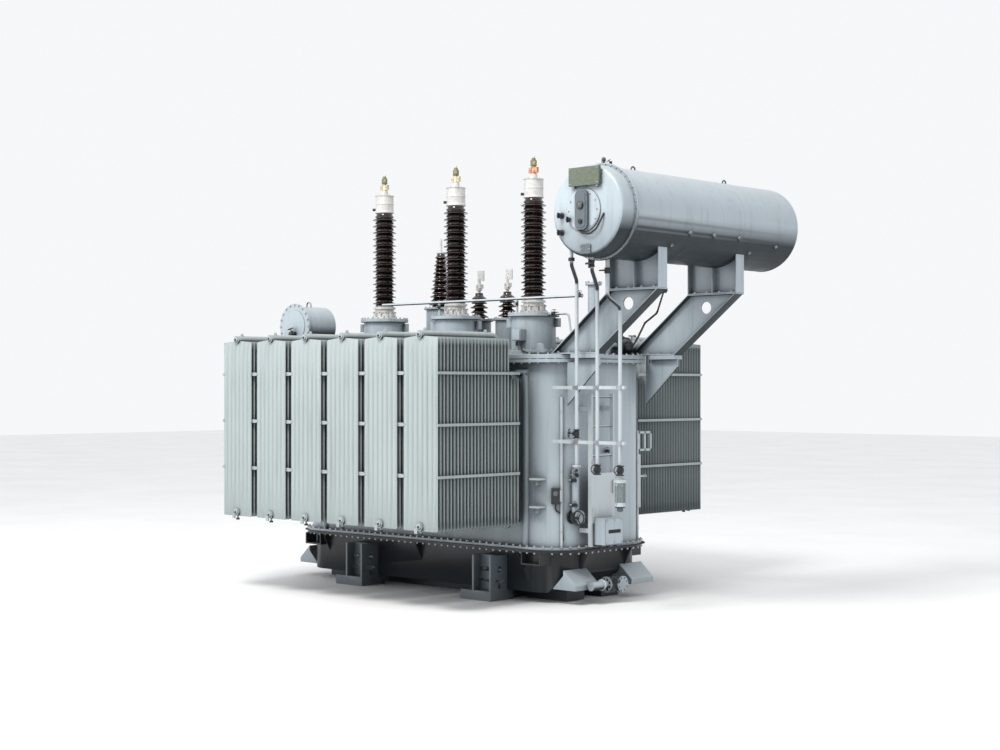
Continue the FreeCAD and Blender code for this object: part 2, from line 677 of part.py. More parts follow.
def radiator_pipes(label, y_sign, level):
    """Short pipes with a valve body and a flange, from the tank's wall to each header."""
    inner_face = "radiator_outer - panel_pitch * %d - panel_thickness" % (PANELS - 1)
    gap = "%s - tank_width / 2" % inner_face
    pipes = []
    for number in range(1, RADIATORS_A_SIDE + 1):
        offset = "radiator_pitch * (%g)" % (number - (RADIATORS_A_SIDE + 1) / 2)
        name = "%s_%d" % (label, number)
        pieces = []
        for part_name, radius, start, length in (
                ("pipe", "header_radius", "0", gap),
                ("valve", "valve_radius", "(%s) / 2 - valve_length / 2" % gap, "valve_length"),
                ("flange", "pipe_flange_radius", "(%s) / 2 + valve_length / 2" % gap,
                 "pipe_flange_thickness")):
            low = ("tank_width / 2 + " + start if y_sign > 0
                   else "-(tank_width / 2 + %s + %s)" % (start, length))
            pieces.append(cylinder("%s_%s" % (name, part_name), radius, length, offset, low, level,
                                   axis="y"))
        pipes.append(joined(name, pieces))
    sub_part(separate(label + "_row", pipes), label)


def radiators():
    stack = radiator_stack()
    for side, y_sign in (("front", -1), ("rear", 1)):
        for number in range(1, RADIATORS_A_SIDE + 1):
            offset = "radiator_pitch * (%g)" % (number - (RADIATORS_A_SIDE + 1) / 2)
            label = "radiator_%s_%d" % (side, number)
            outer = "%d * radiator_outer" % y_sign
            sub_part(copy_of(stack, label, offset, outer, 0, half_turn=y_sign > 0), label)
        radiator_pipes("upper_pipes_" + side, y_sign, "neck_level")
        radiator_pipes("lower_pipes_" + side, y_sign, "header_low")


# ---------------------------------------------------------------- bushings

def turret(body, radius, height, foot_radius, foot_height, top_radius, top_height):
    """Drum with a foot flange and a top flange; its levels are above the cover."""
    outline = sketch_on(body, "turret_outline", "XZ_Plane")
    top = "(%s)" % height
    draw_outline(outline, [("0", "0"), (foot_radius, "0"), (foot_radius, foot_height),
                           (radius, foot_height), (radius, "%s - (%s)" % (top, top_height)),
                           (top_radius, "%s - (%s)" % (top, top_height)), (top_radius, top),
                           ("0", top)])
    spin(body, outline)
    return body


def shed_ring(body, name, core, tip, foot):
    """A drooping shed: thick at the core and thin at its tip."""
    outline = sketch_on(body, name, "XZ_Plane")
    root = core + " - shed_root"
    draw_outline(outline, [(root, foot), (tip, "%s - shed_droop" % foot),
                           (tip, "%s - shed_droop / 2" % foot), (root, "%s + shed_thickness" % foot)])
    return spin(body, outline)


def bushing_sleeve():
    body = new_body("sleeve")
    outline = sketch_on(body, "sleeve_outline", "XZ_Plane")
    draw_outline(outline, [("0", "0"), ("sleeve_flange_radius", "0"),
                           ("sleeve_flange_radius", "sleeve_flange_height"),
                           ("sleeve_waist", "sleeve_flange_height"),
                           ("sleeve_waist", "sleeve_height / 2"),
                           ("sleeve_radius", "sleeve_height / 2"), ("sleeve_radius", "sleeve_height"),
                           ("0", "sleeve_height")])
    spin(body, outline)
    return body


def bushing_porcelain():
    """Core with large and small drooping sheds in turn."""
    body = new_body("porcelain")
    core = sketch_on(body, "core", "XZ_Plane")
    draw_outline(core, [("0", "0"), ("hv_core_radius", "0"), ("hv_core_radius", "hv_length"),
                        ("0", "hv_length")])
    spin(body, core)
    large = shed_ring(body, "large_shed", "hv_core_radius", "shed_radius",
                      "collar_height + shed_droop")
    repeat(body, large, "XY_Plane", "shed_pitch", HV_SHEDS)
    small = shed_ring(body, "small_shed", "hv_core_radius", "shed_small_radius",
                      "collar_height + shed_droop + shed_pitch / 2")
    repeat(body, small, "XY_Plane", "shed_pitch", HV_SHEDS)
    return body


def bushing_head():
    """Cap with a rim, its boss and the terminal stud."""
    body = new_body("head")
    cap = sketch_on(body, "cap_outline", "XZ_Plane")
    rim = "head_radius + head_rim"
    boss_top = "head_height + boss_height"
    draw_outline(cap, [("0", "0"), ("head_radius", "0"), ("head_radius", "head_height - head_rim"),
                       (rim, "head_height - head_rim"), (rim, "head_height"),
                       ("boss_radius", "head_height"), ("boss_radius", boss_top),
                       ("stud_radius", boss_top), ("stud_radius", boss_top + " + stud_length"),
                       ("0", boss_top + " + stud_length")])
    spin(body, cap)
    return body


def high_voltage_bushings():
    drum_height = "turret_height + turret_top_height"
    drum = turret(new_body("drum"), "turret_radius", drum_height, "turret_foot_radius",
                  "turret_foot_height", "turret_top_radius", "turret_top_height")
    sleeve_level = "%s + %s" % (COVER_TOP, drum_height)
    core_level = sleeve_level + " + sleeve_height"
    pieces = (("hv_turret", drum, COVER_TOP), ("hv_sleeve", bushing_sleeve(), sleeve_level),
              ("hv_porcelain", bushing_porcelain(), core_level),
              ("hv_head", bushing_head(), core_level + " + hv_length"))
    for number in range(1, PHASES + 1):
        offset = "hv_spacing * (%d)" % (number - (PHASES + 1) // 2)
        for name, piece, level in pieces:
            label = "%s_%d" % (name, number)
            sub_part(copy_of(piece, label, offset, "hv_side", level), label)


def neutral_bushing():
    drum = new_body("neutral_turret")
    turret(drum, "neutral_turret_radius", "neutral_turret_height + sleeve_flange_height",
           "neutral_foot_flange", "sleeve_flange_height", "neutral_top_flange",
           "sleeve_flange_height")
    sub_part(place(drum, "neutral_offset", "neutral_side", COVER_TOP), "neutral_turret")
    level = COVER_TOP + " + neutral_turret_height + sleeve_flange_height"
    stack = [cone("neutral_core", "neutral_foot_core", "neutral_top_core", "neutral_length",
                  "neutral_offset", "neutral_side", level)]
    for k in range(NEUTRAL_SHEDS):
        share = (k + 0.5) / NEUTRAL_SHEDS
        tip = "(neutral_foot_shed + (neutral_top_shed - neutral_foot_shed) * %g)" % share
        if k % 2:
            tip = "%s * %g" % (tip, SMALL_SHED_SHARE)
        foot = "%s + neutral_length * %g" % (level, k / NEUTRAL_SHEDS + FIRST_SHED_SHARE)
        stack.append(cone("neutral_shed_%d" % k, tip, "neutral_top_core * %g" % SHED_ROOT_SHARE,
                          "neutral_shed_height", "neutral_offset", "neutral_side", foot))
    sub_part(joined("neutral_stack", stack), "neutral_porcelain")
    top = level + " + neutral_length"
    cap = cylinder("neutral_cap", "neutral_cap_radius", "neutral_cap_height", "neutral_offset",
                   "neutral_side", top)
    stud = cylinder("neutral_stud", "neutral_stud_radius", "neutral_stud_length", "neutral_offset",
                    "neutral_side", top)
    sub_part(joined("neutral_end", [cap, stud]), "neutral_terminal")


def low_voltage_bushings():
    turrets, stacks, ends = [], [], []
    for number in range(PHASES):
        offset = "lv_offset + lv_spacing * (%d)" % (number - PHASES // 2)
        middle = offset + " + lv_palm_shift"
        name = "lv_%d" % (number + 1)
        drum = cylinder(name + "_drum", "lv_turret_radius", "lv_turret_height", offset, "lv_side",
                        COVER_TOP)
        rim = cylinder(name + "_rim", "lv_turret_radius + lv_turret_rim", "lv_turret_rim", offset,
                       "lv_side", "%s + lv_turret_height" % COVER_TOP)
        turrets.append(joined(name + "_turret", [drum, rim]))
        level = COVER_TOP + " + lv_turret_height + lv_turret_rim"
        pieces = [cylinder(name + "_core", "lv_core_radius", "lv_length", offset, "lv_side", level)]
        for k in range(LV_SHEDS):
            pieces.append(cone("%s_shed_%d" % (name, k), "lv_shed_radius",
                               "lv_core_radius * %g" % SHED_ROOT_SHARE, "lv_shed_height", offset,
                               "lv_side", "%s + lv_first_shed + lv_shed_pitch * %d" % (level, k)))
        stacks.append(joined(name + "_stack", pieces))
        top = level + " + lv_length"
        stem = cylinder(name + "_stem", "lv_stem_radius", "lv_stem_length + lv_stem_overlap", offset,
                        "lv_side", top)
        palm = box(name + "_palm", (middle + " - lv_palm_width / 2", middle + " + lv_palm_width / 2"),
                   ("lv_side - lv_palm_thickness / 2", "lv_side + lv_palm_thickness / 2"),
                   (top + " + lv_stem_length", top + " + lv_stem_length + lv_palm_height"))
        ends.append(joined(name + "_end", [stem, palm]))
    sub_part(separate("lv_turret_row", turrets), "lv_turrets")
    sub_part(separate("lv_stack_row", stacks), "lv_porcelains")
    sub_part(separate("lv_end_row", ends), "lv_terminals")


# ---------------------------------------------------------------- conservator

def conservator():
    """Drum on its side: a shell, a flanged cover at the front and a domed rear end."""
    body = new_body("conservator_shell")
    section = sketch_on(body, "section", "YZ_Plane")
    outer = "cons_radius"
    inner = "cons_radius - cons_wall"
    rim = "cons_radius + cons_flange"
    draw_outline(section, [("cons_joint", inner), ("cons_joint", rim),
                           ("cons_joint + cons_flange_thickness", rim),
                           ("cons_joint + cons_flange_thickness", outer), ("cons_seam", outer),
                           ("cons_seam", inner)])
    spin(body, section, "H_Axis")
    sub_part(place(body, "cons_offset", 0, "cons_level"), "conservator_shell")

    cover = new_body("conservator_cover")
    half = sketch_on(cover, "half", "YZ_Plane")
    back = "cons_joint - cons_flange_thickness"
    draw_outline(half, [("cons_cover_face", "0"), ("cons_cover_face", "cons_radius - cons_knuckle"),
                        ("cons_cover_face + cons_knuckle_step", "cons_radius - cons_knuckle_step"),
                        ("cons_cover_face + cons_knuckle", "cons_radius"), (back, "cons_radius"),
                        (back, rim), ("cons_joint", rim), ("cons_joint", "cons_radius - cons_wall"),
                        ("cons_cover_face + cons_knuckle + cons_wall", "cons_radius - cons_wall"),
                        ("cons_cover_face + cons_wall", "cons_radius - cons_knuckle - cons_wall"),
                        ("cons_cover_face + cons_wall", "0")])
    spin(cover, half, "H_Axis")
    sub_part(place(cover, "cons_offset", 0, "cons_level"), "conservator_cover")

    shells = []
    for name, shrink in (("dome_outer", "0"), ("dome_inner", "cons_wall")):
        dome = new("Part::Ellipsoid", name)
        bind(dome, Radius1="cons_dome - %s" % shrink, Radius2="cons_radius - %s" % shrink)
        dome.Angle1 = 0
        dome.Angle2 = 90
        along(dome, "y")
        shells.append(place(dome, "cons_offset", "cons_seam", "cons_level"))
    sub_part(cut("dome", *shells), "conservator_dome")


def saddle(side, y_sign):
    """Web, end plates and a stiffener on a foot plate, cut to the drum's round side."""
    label = "conservator_saddle_" + side
    middle = "%d * saddle_%s" % (y_sign, side)
    near = middle + " - saddle_width / 2"
    far = middle + " + saddle_width / 2"
    top = "saddle_foot + saddle_rise"
    pieces = [
        box(label + "_foot", ("saddle_near", "saddle_far"), (near, far),
            ("saddle_foot", "saddle_foot + saddle_plate")),
        box(label + "_web", ("saddle_near", "saddle_far"),
            (middle + " - saddle_plate / 2", middle + " + saddle_plate / 2"), ("saddle_foot", top)),
        box(label + "_near_end", ("saddle_near", "saddle_near + saddle_plate"), (near, far),
            ("saddle_foot", top)),
        box(label + "_far_end", ("saddle_far - saddle_plate", "saddle_far"), (near, far),
            ("saddle_foot", top)),
        box(label + "_stiffener", ("cons_offset - saddle_plate / 2", "cons_offset + saddle_plate / 2"),
            (near, far), ("saddle_foot", top)),
    ]
    drum = cylinder(label + "_drum", "cons_radius", "saddle_width + 2", "cons_offset", near + " - 1",
                    "cons_level", axis="y")
    sub_part(cut(label + "_cut", joined(label + "_plates", pieces), drum), label)


def strut(side, y_sign):
    """Leaning I-section strut from the cover's end to the saddle, with a round hole in its web."""
    body = new_body("strut_" + side)
    middle = "%d * saddle_%s" % (-y_sign, side)
    foot = COVER_TOP
    web = sketch_on(body, "web", "XZ_Plane", middle)
    draw_outline(web, [("strut_foot_near", foot), ("strut_foot_far", foot),
                       ("saddle_far", "saddle_foot"), ("saddle_near", "saddle_foot")])
    pad(body, web, "strut_plate", middle=True)
    hole = sketch_on(body, "hole", "XZ_Plane", middle)
    draw_circle(hole, "strut_hole_radius", "strut_hole_offset", "strut_hole_level")
    bore(body, hole, "strut_flange", middle=True)
    flanges = sketch_on(body, "flanges", "XZ_Plane", middle)
    thick = "strut_slope_plate"
    draw_outline(flanges, [("strut_foot_near", foot), ("strut_foot_near + " + thick, foot),
                           ("saddle_near + " + thick, "saddle_foot"), ("saddle_near", "saddle_foot")])
    draw_outline(flanges, [("strut_foot_far - " + thick, foot), ("strut_foot_far", foot),
                           ("saddle_far", "saddle_foot"), ("saddle_far - " + thick, "saddle_foot")])
    pad(body, flanges, "strut_flange", middle=True)
    ends = sketch_on(body, "end_plates", "XZ_Plane", middle)
    draw_outline(ends, [("strut_foot_near", foot), ("strut_foot_far", foot),
                        ("strut_foot_far", foot + " + strut_plate"),
                        ("strut_foot_near", foot + " + strut_plate")])
    draw_outline(ends, [("saddle_near", "saddle_foot - strut_plate"),
                        ("saddle_far", "saddle_foot - strut_plate"),
                        ("saddle_far", "saddle_foot"), ("saddle_near", "saddle_foot")])
    pad(body, ends, "strut_flange", middle=True)
    sub_part(body, "conservator_strut_" + side)


def strut_bracket(side, y_sign):
    """Shelf and gusset, welded to the end wall and to the tank's rim."""
    body = new_body("bracket_" + side)
    middle = "%d * saddle_%s" % (-y_sign, side)
    wall = "tank_length / 2"
    edge = "tank_length / 2 + rim_overhang"
    foot = "rim_level + rim_thickness"
    shelf = sketch_on(body, "shelf", "XZ_Plane", middle)
    draw_outline(shelf, [(edge, foot), ("bracket_reach", foot), ("bracket_reach", COVER_TOP),
                         (edge, COVER_TOP)])
    pad(body, shelf, "bracket_width", middle=True)
    gusset = sketch_on(body, "gusset", "XZ_Plane", middle)
    draw_outline(gusset, [(wall, "rim_level - bracket_depth"),
                          ("bracket_reach", foot + " - bracket_lip"), ("bracket_reach", foot),
                          (edge, foot), (edge, "rim_level"), (wall, "rim_level")])
    pad(body, gusset, "bracket_plate", middle=True)
    sub_part(body, "strut_bracket_" + side)


def conservator_supports():
    for side, y_sign in (("front", -1), ("rear", 1)):
        saddle(side, y_sign)
        strut(side, y_sign)
        strut_bracket(side, y_sign)


# ---------------------------------------------------------------- pipes, relay, breather

def solid_of(label, solids, touching=True):
    """A sub-part of shapes made here: fused, or kept as separate solids."""
    if touching:
        shape = solids[0].fuse(solids[1:]).removeSplitter()
    else:
        shape = Part.makeCompound(solids)
    item = new("Part::Feature", label)
    item.Shape = shape
    return sub_part(item, label)


def cover_top():
    return value("rim_level") + value("rim_thickness") + value("cover_thickness")


def oil_pipes():
    """Main oil pipe on both sides of its gas relay, and the vent riser."""
    relay_x, relay_y, relay_z = (value("relay_" + name) for name in ("offset", "side", "level"))
    half = value("relay_length") / 2
    radius = value("oil_pipe_radius")
    near_y = relay_y - value("oil_pipe_reach")
    far_y = value("oil_pipe_far")
    drum_x = value("cons_offset") - value("oil_pipe_inset")
    bend = value("oil_pipe_bend")
    low = [(relay_x, near_y, cover_top()), (relay_x, near_y, relay_z),
           (relay_x, relay_y - half, relay_z)]
    high = [(relay_x, relay_y + half, relay_z), (relay_x, far_y, relay_z),
            (drum_x, far_y, value("oil_pipe_elbow")), (drum_x, far_y, value("oil_pipe_top"))]
    solid_of("oil_pipe", [pipe_solid(low, radius, bend), pipe_solid(high, radius, bend)],
             touching=False)
    body = cylinder("relay_body", "relay_radius", "relay_length", "relay_offset",
                    "relay_side - relay_length / 2", "relay_level", axis="y")
    flanges = [cylinder("relay_flange_%d" % k, "relay_flange_radius", "relay_flange_thickness",
                        "relay_offset",
                        "relay_side - relay_length / 2 + %d * (relay_length - relay_flange_thickness)"
                        % k, "relay_level", axis="y") for k in (0, 1)]
    sub_part(joined("relay", [body] + flanges), "gas_relay")
    riser = cylinder("riser_tube", "riser_radius", "riser_height", "riser_offset", "riser_side",
                     COVER_TOP)
    foot = cylinder("riser_foot", "riser_foot_radius", "riser_foot_height", "riser_offset",
                    "riser_side", COVER_TOP)
    cap = cylinder("riser_cap", "riser_cap_radius", "riser_cap_height", "riser_offset", "riser_side",
                   "%s + riser_height - riser_cap_height" % COVER_TOP)
    sub_part(joined("riser", [riser, foot, cap]), "vent_riser")


def gas_pipe():
    """Thin pipe along the tops of the turrets, with a branch down to each."""
    side = value("gas_pipe_side")
    level = value("gas_pipe_level")
    radius = value("gas_pipe_radius")
    near = value("gas_pipe_near")
    far = value("gas_pipe_far")
    turret_top = cover_top() + value("turret_height") + value("turret_top_height")
    solids = [pipe_solid([(near, side, level), (far, side, level)], radius, 0)]
    for number in range(PHASES):
        x = value("hv_spacing") * (number - 1)
        if near <= x <= far:
            solids.append(pipe_solid([(x, side, turret_top), (x, side, level)], radius * 0.8, 0))
    solid_of("gas_pipe", solids)


def side_pipes():
    """Three pipes from the conservator down past the tank's end, held by two bars on stays."""
    plane = value("side_pipe_plane")
    radius = value("side_pipe_radius")
    bend = value("side_pipe_bend")
    pieces = []
    for name in ("first", "second", "third"):
        x = value("side_pipe_" + name)
        top_x, top_y, top, elbow, shoulder, foot = (
            value("side_pipe_%s_%s" % (name, place))
            for place in ("top_x", "top_y", "top", "elbow", "shoulder", "foot"))
        points = [(top_x, top_y, top), (top_x, top_y, elbow), (x, plane, shoulder), (x, plane, foot)]
        pieces.append(pipe_solid(points, radius, bend))
    bar = value("pipe_bar_size")
    near = value("pipe_bar_near")
    start = value("pipe_stay_start")
    for level in (value("pipe_bar_high"), value("pipe_bar_low")):
        low = level - bar / 2
        corner = FreeCAD.Vector(near, plane - bar / 2, low)
        pieces.append(Part.makeBox(value("pipe_bar_far") - near, bar, bar, corner))
        pieces.append(Part.makeBox(bar, start - plane, bar, FreeCAD.Vector(near, plane, low)))
    solid_of("side_pipes", pieces)


def breather():
    """Glass drying vessel with a top and a bottom cap, at the foot of the third pipe."""
    x, y = "side_pipe_third", "side_pipe_plane"
    vessel = cylinder("vessel", "breather_radius", "breather_top - breather_foot", x, y, "breather_foot")
    cap = cylinder("vessel_cap", "breather_rim_radius", "breather_cap_height", x, y,
                   "breather_top - breather_cap_height")
    foot = cylinder("vessel_foot", "breather_rim_radius", "breather_foot_height", x, y, "breather_foot")
    sub_part(joined("vessel_all", [vessel, cap, foot]), "breather")


# ---------------------------------------------------------------- ladder, box and manhole

def ladder():
    """Ladder on the end wall: two rails, round rungs and a guard plate over the lower half."""
    x = ("ladder_offset", "ladder_offset + rail_width")
    pieces = [
        box("rail_near", x, ("ladder_near", "ladder_near + rail_depth"), ("ladder_foot", "ladder_top")),
        box("rail_far", x, ("ladder_far - rail_depth", "ladder_far"), ("ladder_foot", "ladder_top")),
        box("guard", ("ladder_offset + rail_width", "ladder_offset + rail_width + guard_thickness"),
            ("ladder_near", "ladder_far"), ("guard_foot", "guard_top")),
    ]
    rungs = int((value("ladder_top") - value("rung_first")) // value("rung_pitch")) + 1
    for k in range(rungs):
        pieces.append(cylinder("rung_%d" % k, "rung_radius", "ladder_far - ladder_near",
                               "ladder_offset + rail_width / 2", "ladder_near",
                               "rung_first + rung_pitch * %d" % k, axis="y"))
    for name, level in (("low", "stay_low"), ("high", "stay_high")):
        for side, y in (("near", "ladder_near"), ("far", "ladder_far - rail_depth")):
            pieces.append(box("stay_%s_%s" % (name, side), ("tank_length / 2", "ladder_offset + 1"),
                              (y, y + " + rail_depth"), (level, level + " + stay_height")))
    sub_part(joined("ladder_all", pieces), "ladder")


def cable_box():
    sub_part(box("cable_box", ("ladder_offset + rail_width + guard_thickness",
                               "ladder_offset + rail_width + box_depth"),
                 ("box_near", "box_far"), ("box_foot", "box_top")), "cable_box")


def side_manhole():
    """Drum across the far end of the cover, with a bolted blank flange that faces the front."""
    drum = cylinder("manhole_drum", "manhole_radius", "manhole_far - manhole_near",
                    "manhole_offset", "manhole_near", "manhole_level", axis="y")
    rim = cylinder("manhole_rim", "manhole_radius + manhole_rim", "manhole_rim_thickness",
                   "manhole_offset", "manhole_near", "manhole_level", axis="y")
    neck = cylinder("manhole_neck", "manhole_neck_radius", "manhole_level - (%s)" % COVER_TOP,
                    "manhole_offset", "(manhole_near + manhole_far) / 2", COVER_TOP)
    sub_part(joined("manhole", [drum, rim, neck]), "side_manhole")


# ---------------------------------------------------------------- build, check, export

def faults():
    """Every object that failed to build, and every sub-part without a sound shape."""
    found = []
    for item in doc.Objects:
        if "Invalid" in item.State or "Error" in item.State:
            found.append("%s is %s" % (item.Label, item.State))
    for item in SUB_PARTS:
        if item.Shape.isNull() or not item.Shape.isValid():
            found.append("%s has no valid shape" % item.Label)
    return found


def export():
    os.makedirs("parts", exist_ok=True)
    for item in SUB_PARTS:
        item.Shape.exportStep("parts/%s.step" % item.Label)


SHEET = fill_sheet()
base_tray()
jacking_brackets()
towing_gussets()
drain_valve()
tank_body()
tank_cover()
radiators()
high_voltage_bushings()
neutral_bushing()
low_voltage_bushings()
conservator()
conservator_supports()
oil_pipes()
gas_pipe()
side_pipes()
breather()
ladder()
cable_box()
side_manhole()
doc.recompute()
problems = faults()
if problems:
    raise RuntimeError("; ".join(problems))
export()
print("%d sub-parts" % len(SUB_PARTS))
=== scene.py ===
"""Looks of an oil-immersed power transformer: finishes, pressed panels, bolts, valves and gauges.

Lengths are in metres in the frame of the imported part: X runs towards the oil conservator, the
front radiators are on the -Y side, and Z is up. Places are worked out from the part's own boxes.
"""
import json
import math

import bmesh
import bpy
from mathutils import Euler, Matrix, Vector


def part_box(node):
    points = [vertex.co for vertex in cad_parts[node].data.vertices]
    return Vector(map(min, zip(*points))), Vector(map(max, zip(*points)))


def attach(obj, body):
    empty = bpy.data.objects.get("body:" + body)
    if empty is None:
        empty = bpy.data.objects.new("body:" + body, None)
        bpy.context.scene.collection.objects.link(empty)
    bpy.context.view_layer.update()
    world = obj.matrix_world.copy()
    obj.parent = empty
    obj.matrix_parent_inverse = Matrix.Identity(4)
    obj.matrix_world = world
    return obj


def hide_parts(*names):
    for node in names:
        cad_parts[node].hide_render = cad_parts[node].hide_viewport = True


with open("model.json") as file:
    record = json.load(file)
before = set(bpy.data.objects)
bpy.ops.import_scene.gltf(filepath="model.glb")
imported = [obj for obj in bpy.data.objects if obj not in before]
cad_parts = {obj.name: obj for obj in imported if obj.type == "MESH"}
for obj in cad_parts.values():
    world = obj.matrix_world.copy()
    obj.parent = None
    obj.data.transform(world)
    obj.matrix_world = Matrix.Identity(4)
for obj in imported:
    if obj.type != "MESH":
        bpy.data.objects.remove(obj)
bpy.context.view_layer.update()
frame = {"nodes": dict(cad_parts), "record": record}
NODES = frame["nodes"]
BODY = "root"
UP = Vector((0, 0, 1))
RIGHT = Vector((1, 0, 0))
FRONT = Vector((0, -1, 0))


# ---------------------------------------------------------------- node trees

def feed(tree, node, inputs):
    """Sets a node's inputs: each source is a value or the socket that feeds it."""
    for name, source in inputs.items():
        if isinstance(source, bpy.types.NodeSocket):
            tree.links.new(source, node.inputs[name])
        else:
            node.inputs[name].default_value = source
    return node


def add(tree, kind, inputs=None, **settings):
    """One node: settings are its properties, and inputs are what feeds it."""
    node = tree.nodes.new(kind)
    for name, setting in settings.items():
        setattr(node, name, setting)
    return feed(tree, node, inputs or {})


def maths(tree, operation, first, second=0.0, third=0.0):
    inputs = {0: first, 1: second, 2: third}
    return add(tree, "ShaderNodeMath", inputs, operation=operation).outputs["Value"]


def linear(hex_colour):
    """An sRGB hex value as linear RGBA."""
    parts = [int(hex_colour[k:k + 2], 16) / 255 for k in (1, 3, 5)]
    return [c / 12.92 if c <= 0.04045 else ((c + 0.055) / 1.055) ** 2.4 for c in parts] + [1.0]


# ---------------------------------------------------------------- finishes

def finish(name, **constants):
    """A material with a Principled shader, whose even values are set on its own sockets."""
    material = bpy.data.materials.new(name)
    material.use_nodes = True
    tree = material.node_tree
    shader = tree.nodes["Principled BSDF"]
    feed(tree, shader, {socket.replace("_", " "): value for socket, value in constants.items()})
    return material, tree, shader


def noise(tree, scale, stretch=(1, 1, 1), detail=3.0):
    """Noise over the object's own coordinates; scale is in cells a metre."""
    where = add(tree, "ShaderNodeTexCoord").outputs["Object"]
    drawn = add(tree, "ShaderNodeMapping", {"Vector": where, "Scale": stretch})
    return add(tree, "ShaderNodeTexNoise", {"Vector": drawn.outputs["Vector"], "Scale": scale,
                                            "Detail": detail, "Roughness": 0.55}).outputs["Fac"]


def spread(tree, source, low, high, to_low=0.0, to_high=1.0):
    """Stretches the part of a pattern between low and high over a new range."""
    return add(tree, "ShaderNodeMapRange", {"Value": source, "From Min": low, "From Max": high,
                                            "To Min": to_low, "To Max": to_high}).outputs["Result"]


def blended(tree, share, first, second):
    """Two colours, or the sockets that give them, mixed by a share."""
    mix = add(tree, "ShaderNodeMix", {0: share, 6: first, 7: second}, data_type="RGBA")
    return mix.outputs[2]


def bumped(tree, shader, height, depth, strength):
    """Adds a relief of the given depth, in metres, to the shader's normal."""
    earlier = shader.inputs["Normal"].links
    inputs = {"Height": height, "Distance": depth, "Strength": strength}
    if earlier:
        inputs["Normal"] = earlier[0].from_socket
    feed(tree, shader, {"Normal": add(tree, "ShaderNodeBump", inputs).outputs["Normal"]})


def enamel(name, colour, corner_shade, dust="#A9A89F", reach=0.3):
    """Sprayed enamel on steel plate: an even grey with slow fading, faint run-off streaks of dirt, dust on
    what faces up, painted shade (a near-black tone with less shine) on what faces down and in corners that
    nearby parts hide, and a soft broken shine."""
    material, tree, shader = finish(name, IOR=1.5, Coat_Roughness=0.22)
    # the near-black tone is the run-off dirt in the streaks, and also the colour of the painted shade below
    fresh, dirt_and_shade_tone, gloss, underside = linear(colour), linear("#23282C"), 0.36, 0.94
    faded = blended(tree, spread(tree, noise(tree, 0.9), 0.3, 0.7, 0.0, 0.55), fresh,
                    [c * 0.86 for c in fresh[:3]] + [1.0])
    streaks = spread(tree, noise(tree, 2.2, (7, 7, 0.5), 4.0), 0.52, 0.74, 0.0, 0.16)
    streaked = blended(tree, streaks, faded, dirt_and_shade_tone)
    facing = add(tree, "ShaderNodeSeparateXYZ",
                 {"Vector": add(tree, "ShaderNodeNewGeometry").outputs["Normal"]}).outputs["Z"]
    level = spread(tree, facing, 0.55, 0.98)
    patchy = spread(tree, noise(tree, 5.0), 0.35, 0.7, 0.08, 0.36)
    dusty = blended(tree, maths(tree, "MULTIPLY", level, patchy), streaked, linear(dust))
    # painted shade: darker where ambient occlusion finds other parts close by, as under the radiators
    open_air = add(tree, "ShaderNodeAmbientOcclusion", {"Distance": reach}, samples=5).outputs["AO"]
    corner_shade_mask = spread(tree, open_air, 0.2, 0.9, corner_shade, 0.0)
    with_corner_shade = blended(tree, corner_shade_mask, dusty, dirt_and_shade_tone)
    # painted shade: faces that turn down get the near-black tone, with less specular and less coat
    below = spread(tree, facing, -0.45, 0.0, underside, 0.0)
    feed(tree, shader, {
        "Base Color": blended(tree, below, with_corner_shade, dirt_and_shade_tone),
        "Specular IOR Level": spread(tree, below, 0.0, 1.0, 0.5, 0.04),
        "Coat Weight": spread(tree, below, 0.0, 0.5, 0.12, 0.0),
        "Roughness": spread(tree, noise(tree, 3.5), 0.3, 0.75, gloss - 0.06, gloss + 0.14)})
    bumped(tree, shader, noise(tree, 1.6, detail=1.0), 0.012, 0.35)
    bumped(tree, shader, noise(tree, 160.0, detail=1.0), 0.0006, 0.5)
    return material


def porcelain_glaze():
    """Brown feldspar glaze, fired on porcelain: almost black in bulk, chestnut where it runs thin,
    with a wet, sharp shine."""
    material, tree, shader = finish("brown_porcelain_glaze", IOR=1.53, Coat_Weight=0.7,
                                    Coat_Roughness=0.05)
    pooled = spread(tree, noise(tree, 9.0, detail=4.0), 0.35, 0.75)
    feed(tree, shader, {"Base Color": blended(tree, pooled, linear("#120A08"), linear("#28160F")),
                        "Roughness": spread(tree, noise(tree, 30.0), 0.3, 0.7, 0.12, 0.24)})
    bumped(tree, shader, noise(tree, 45.0, detail=2.0), 0.0012, 0.4)
    return material


def cast_metal(name, colour, dull, metallic, rough):
    """Sand-cast or rough-machined metal: a pale satin with a faint grain and dull patches."""
    material, tree, shader = finish(name, Metallic=metallic)
    patches = spread(tree, noise(tree, 14.0, detail=5.0), 0.42, 0.72, 0.0, 0.6)
    feed(tree, shader, {
        "Base Color": blended(tree, patches, linear(colour), linear(dull)),
        "Roughness": spread(tree, noise(tree, 25.0), 0.3, 0.7, rough - 0.08, rough + 0.12)})
    bumped(tree, shader, noise(tree, 320.0, detail=2.0), 0.0008, 0.6)
    return material


def zinc_plate():
    """Hot-dip zinc on bolts and clamps: a light grey spangle, brighter and duller in patches."""
    material, tree, shader = finish("galvanised_zinc", Metallic=0.85)
    spangle = spread(tree, noise(tree, 120.0, detail=1.0), 0.35, 0.65)
    feed(tree, shader, {"Base Color": blended(tree, spangle, linear("#9EA3A5"), linear("#C9CDCE")),
                        "Roughness": spread(tree, spangle, 0.0, 1.0, 0.34, 0.52)})
    return material


def even_finish(name, colour, darker, rough, relief=0.0004, scale=60.0):
    """A dull, dark or pale finish with fine mottling: cast valve bodies, rubber, printed plates."""
    material, tree, shader = finish(name)
    mottling = spread(tree, noise(tree, scale, detail=3.0), 0.35, 0.7)
    feed(tree, shader, {"Base Color": blended(tree, mottling, linear(colour), linear(darker)),
                        "Roughness": spread(tree, mottling, 0.0, 1.0, rough, rough + 0.12)})
    bumped(tree, shader, mottling, relief, 0.6)
    return material


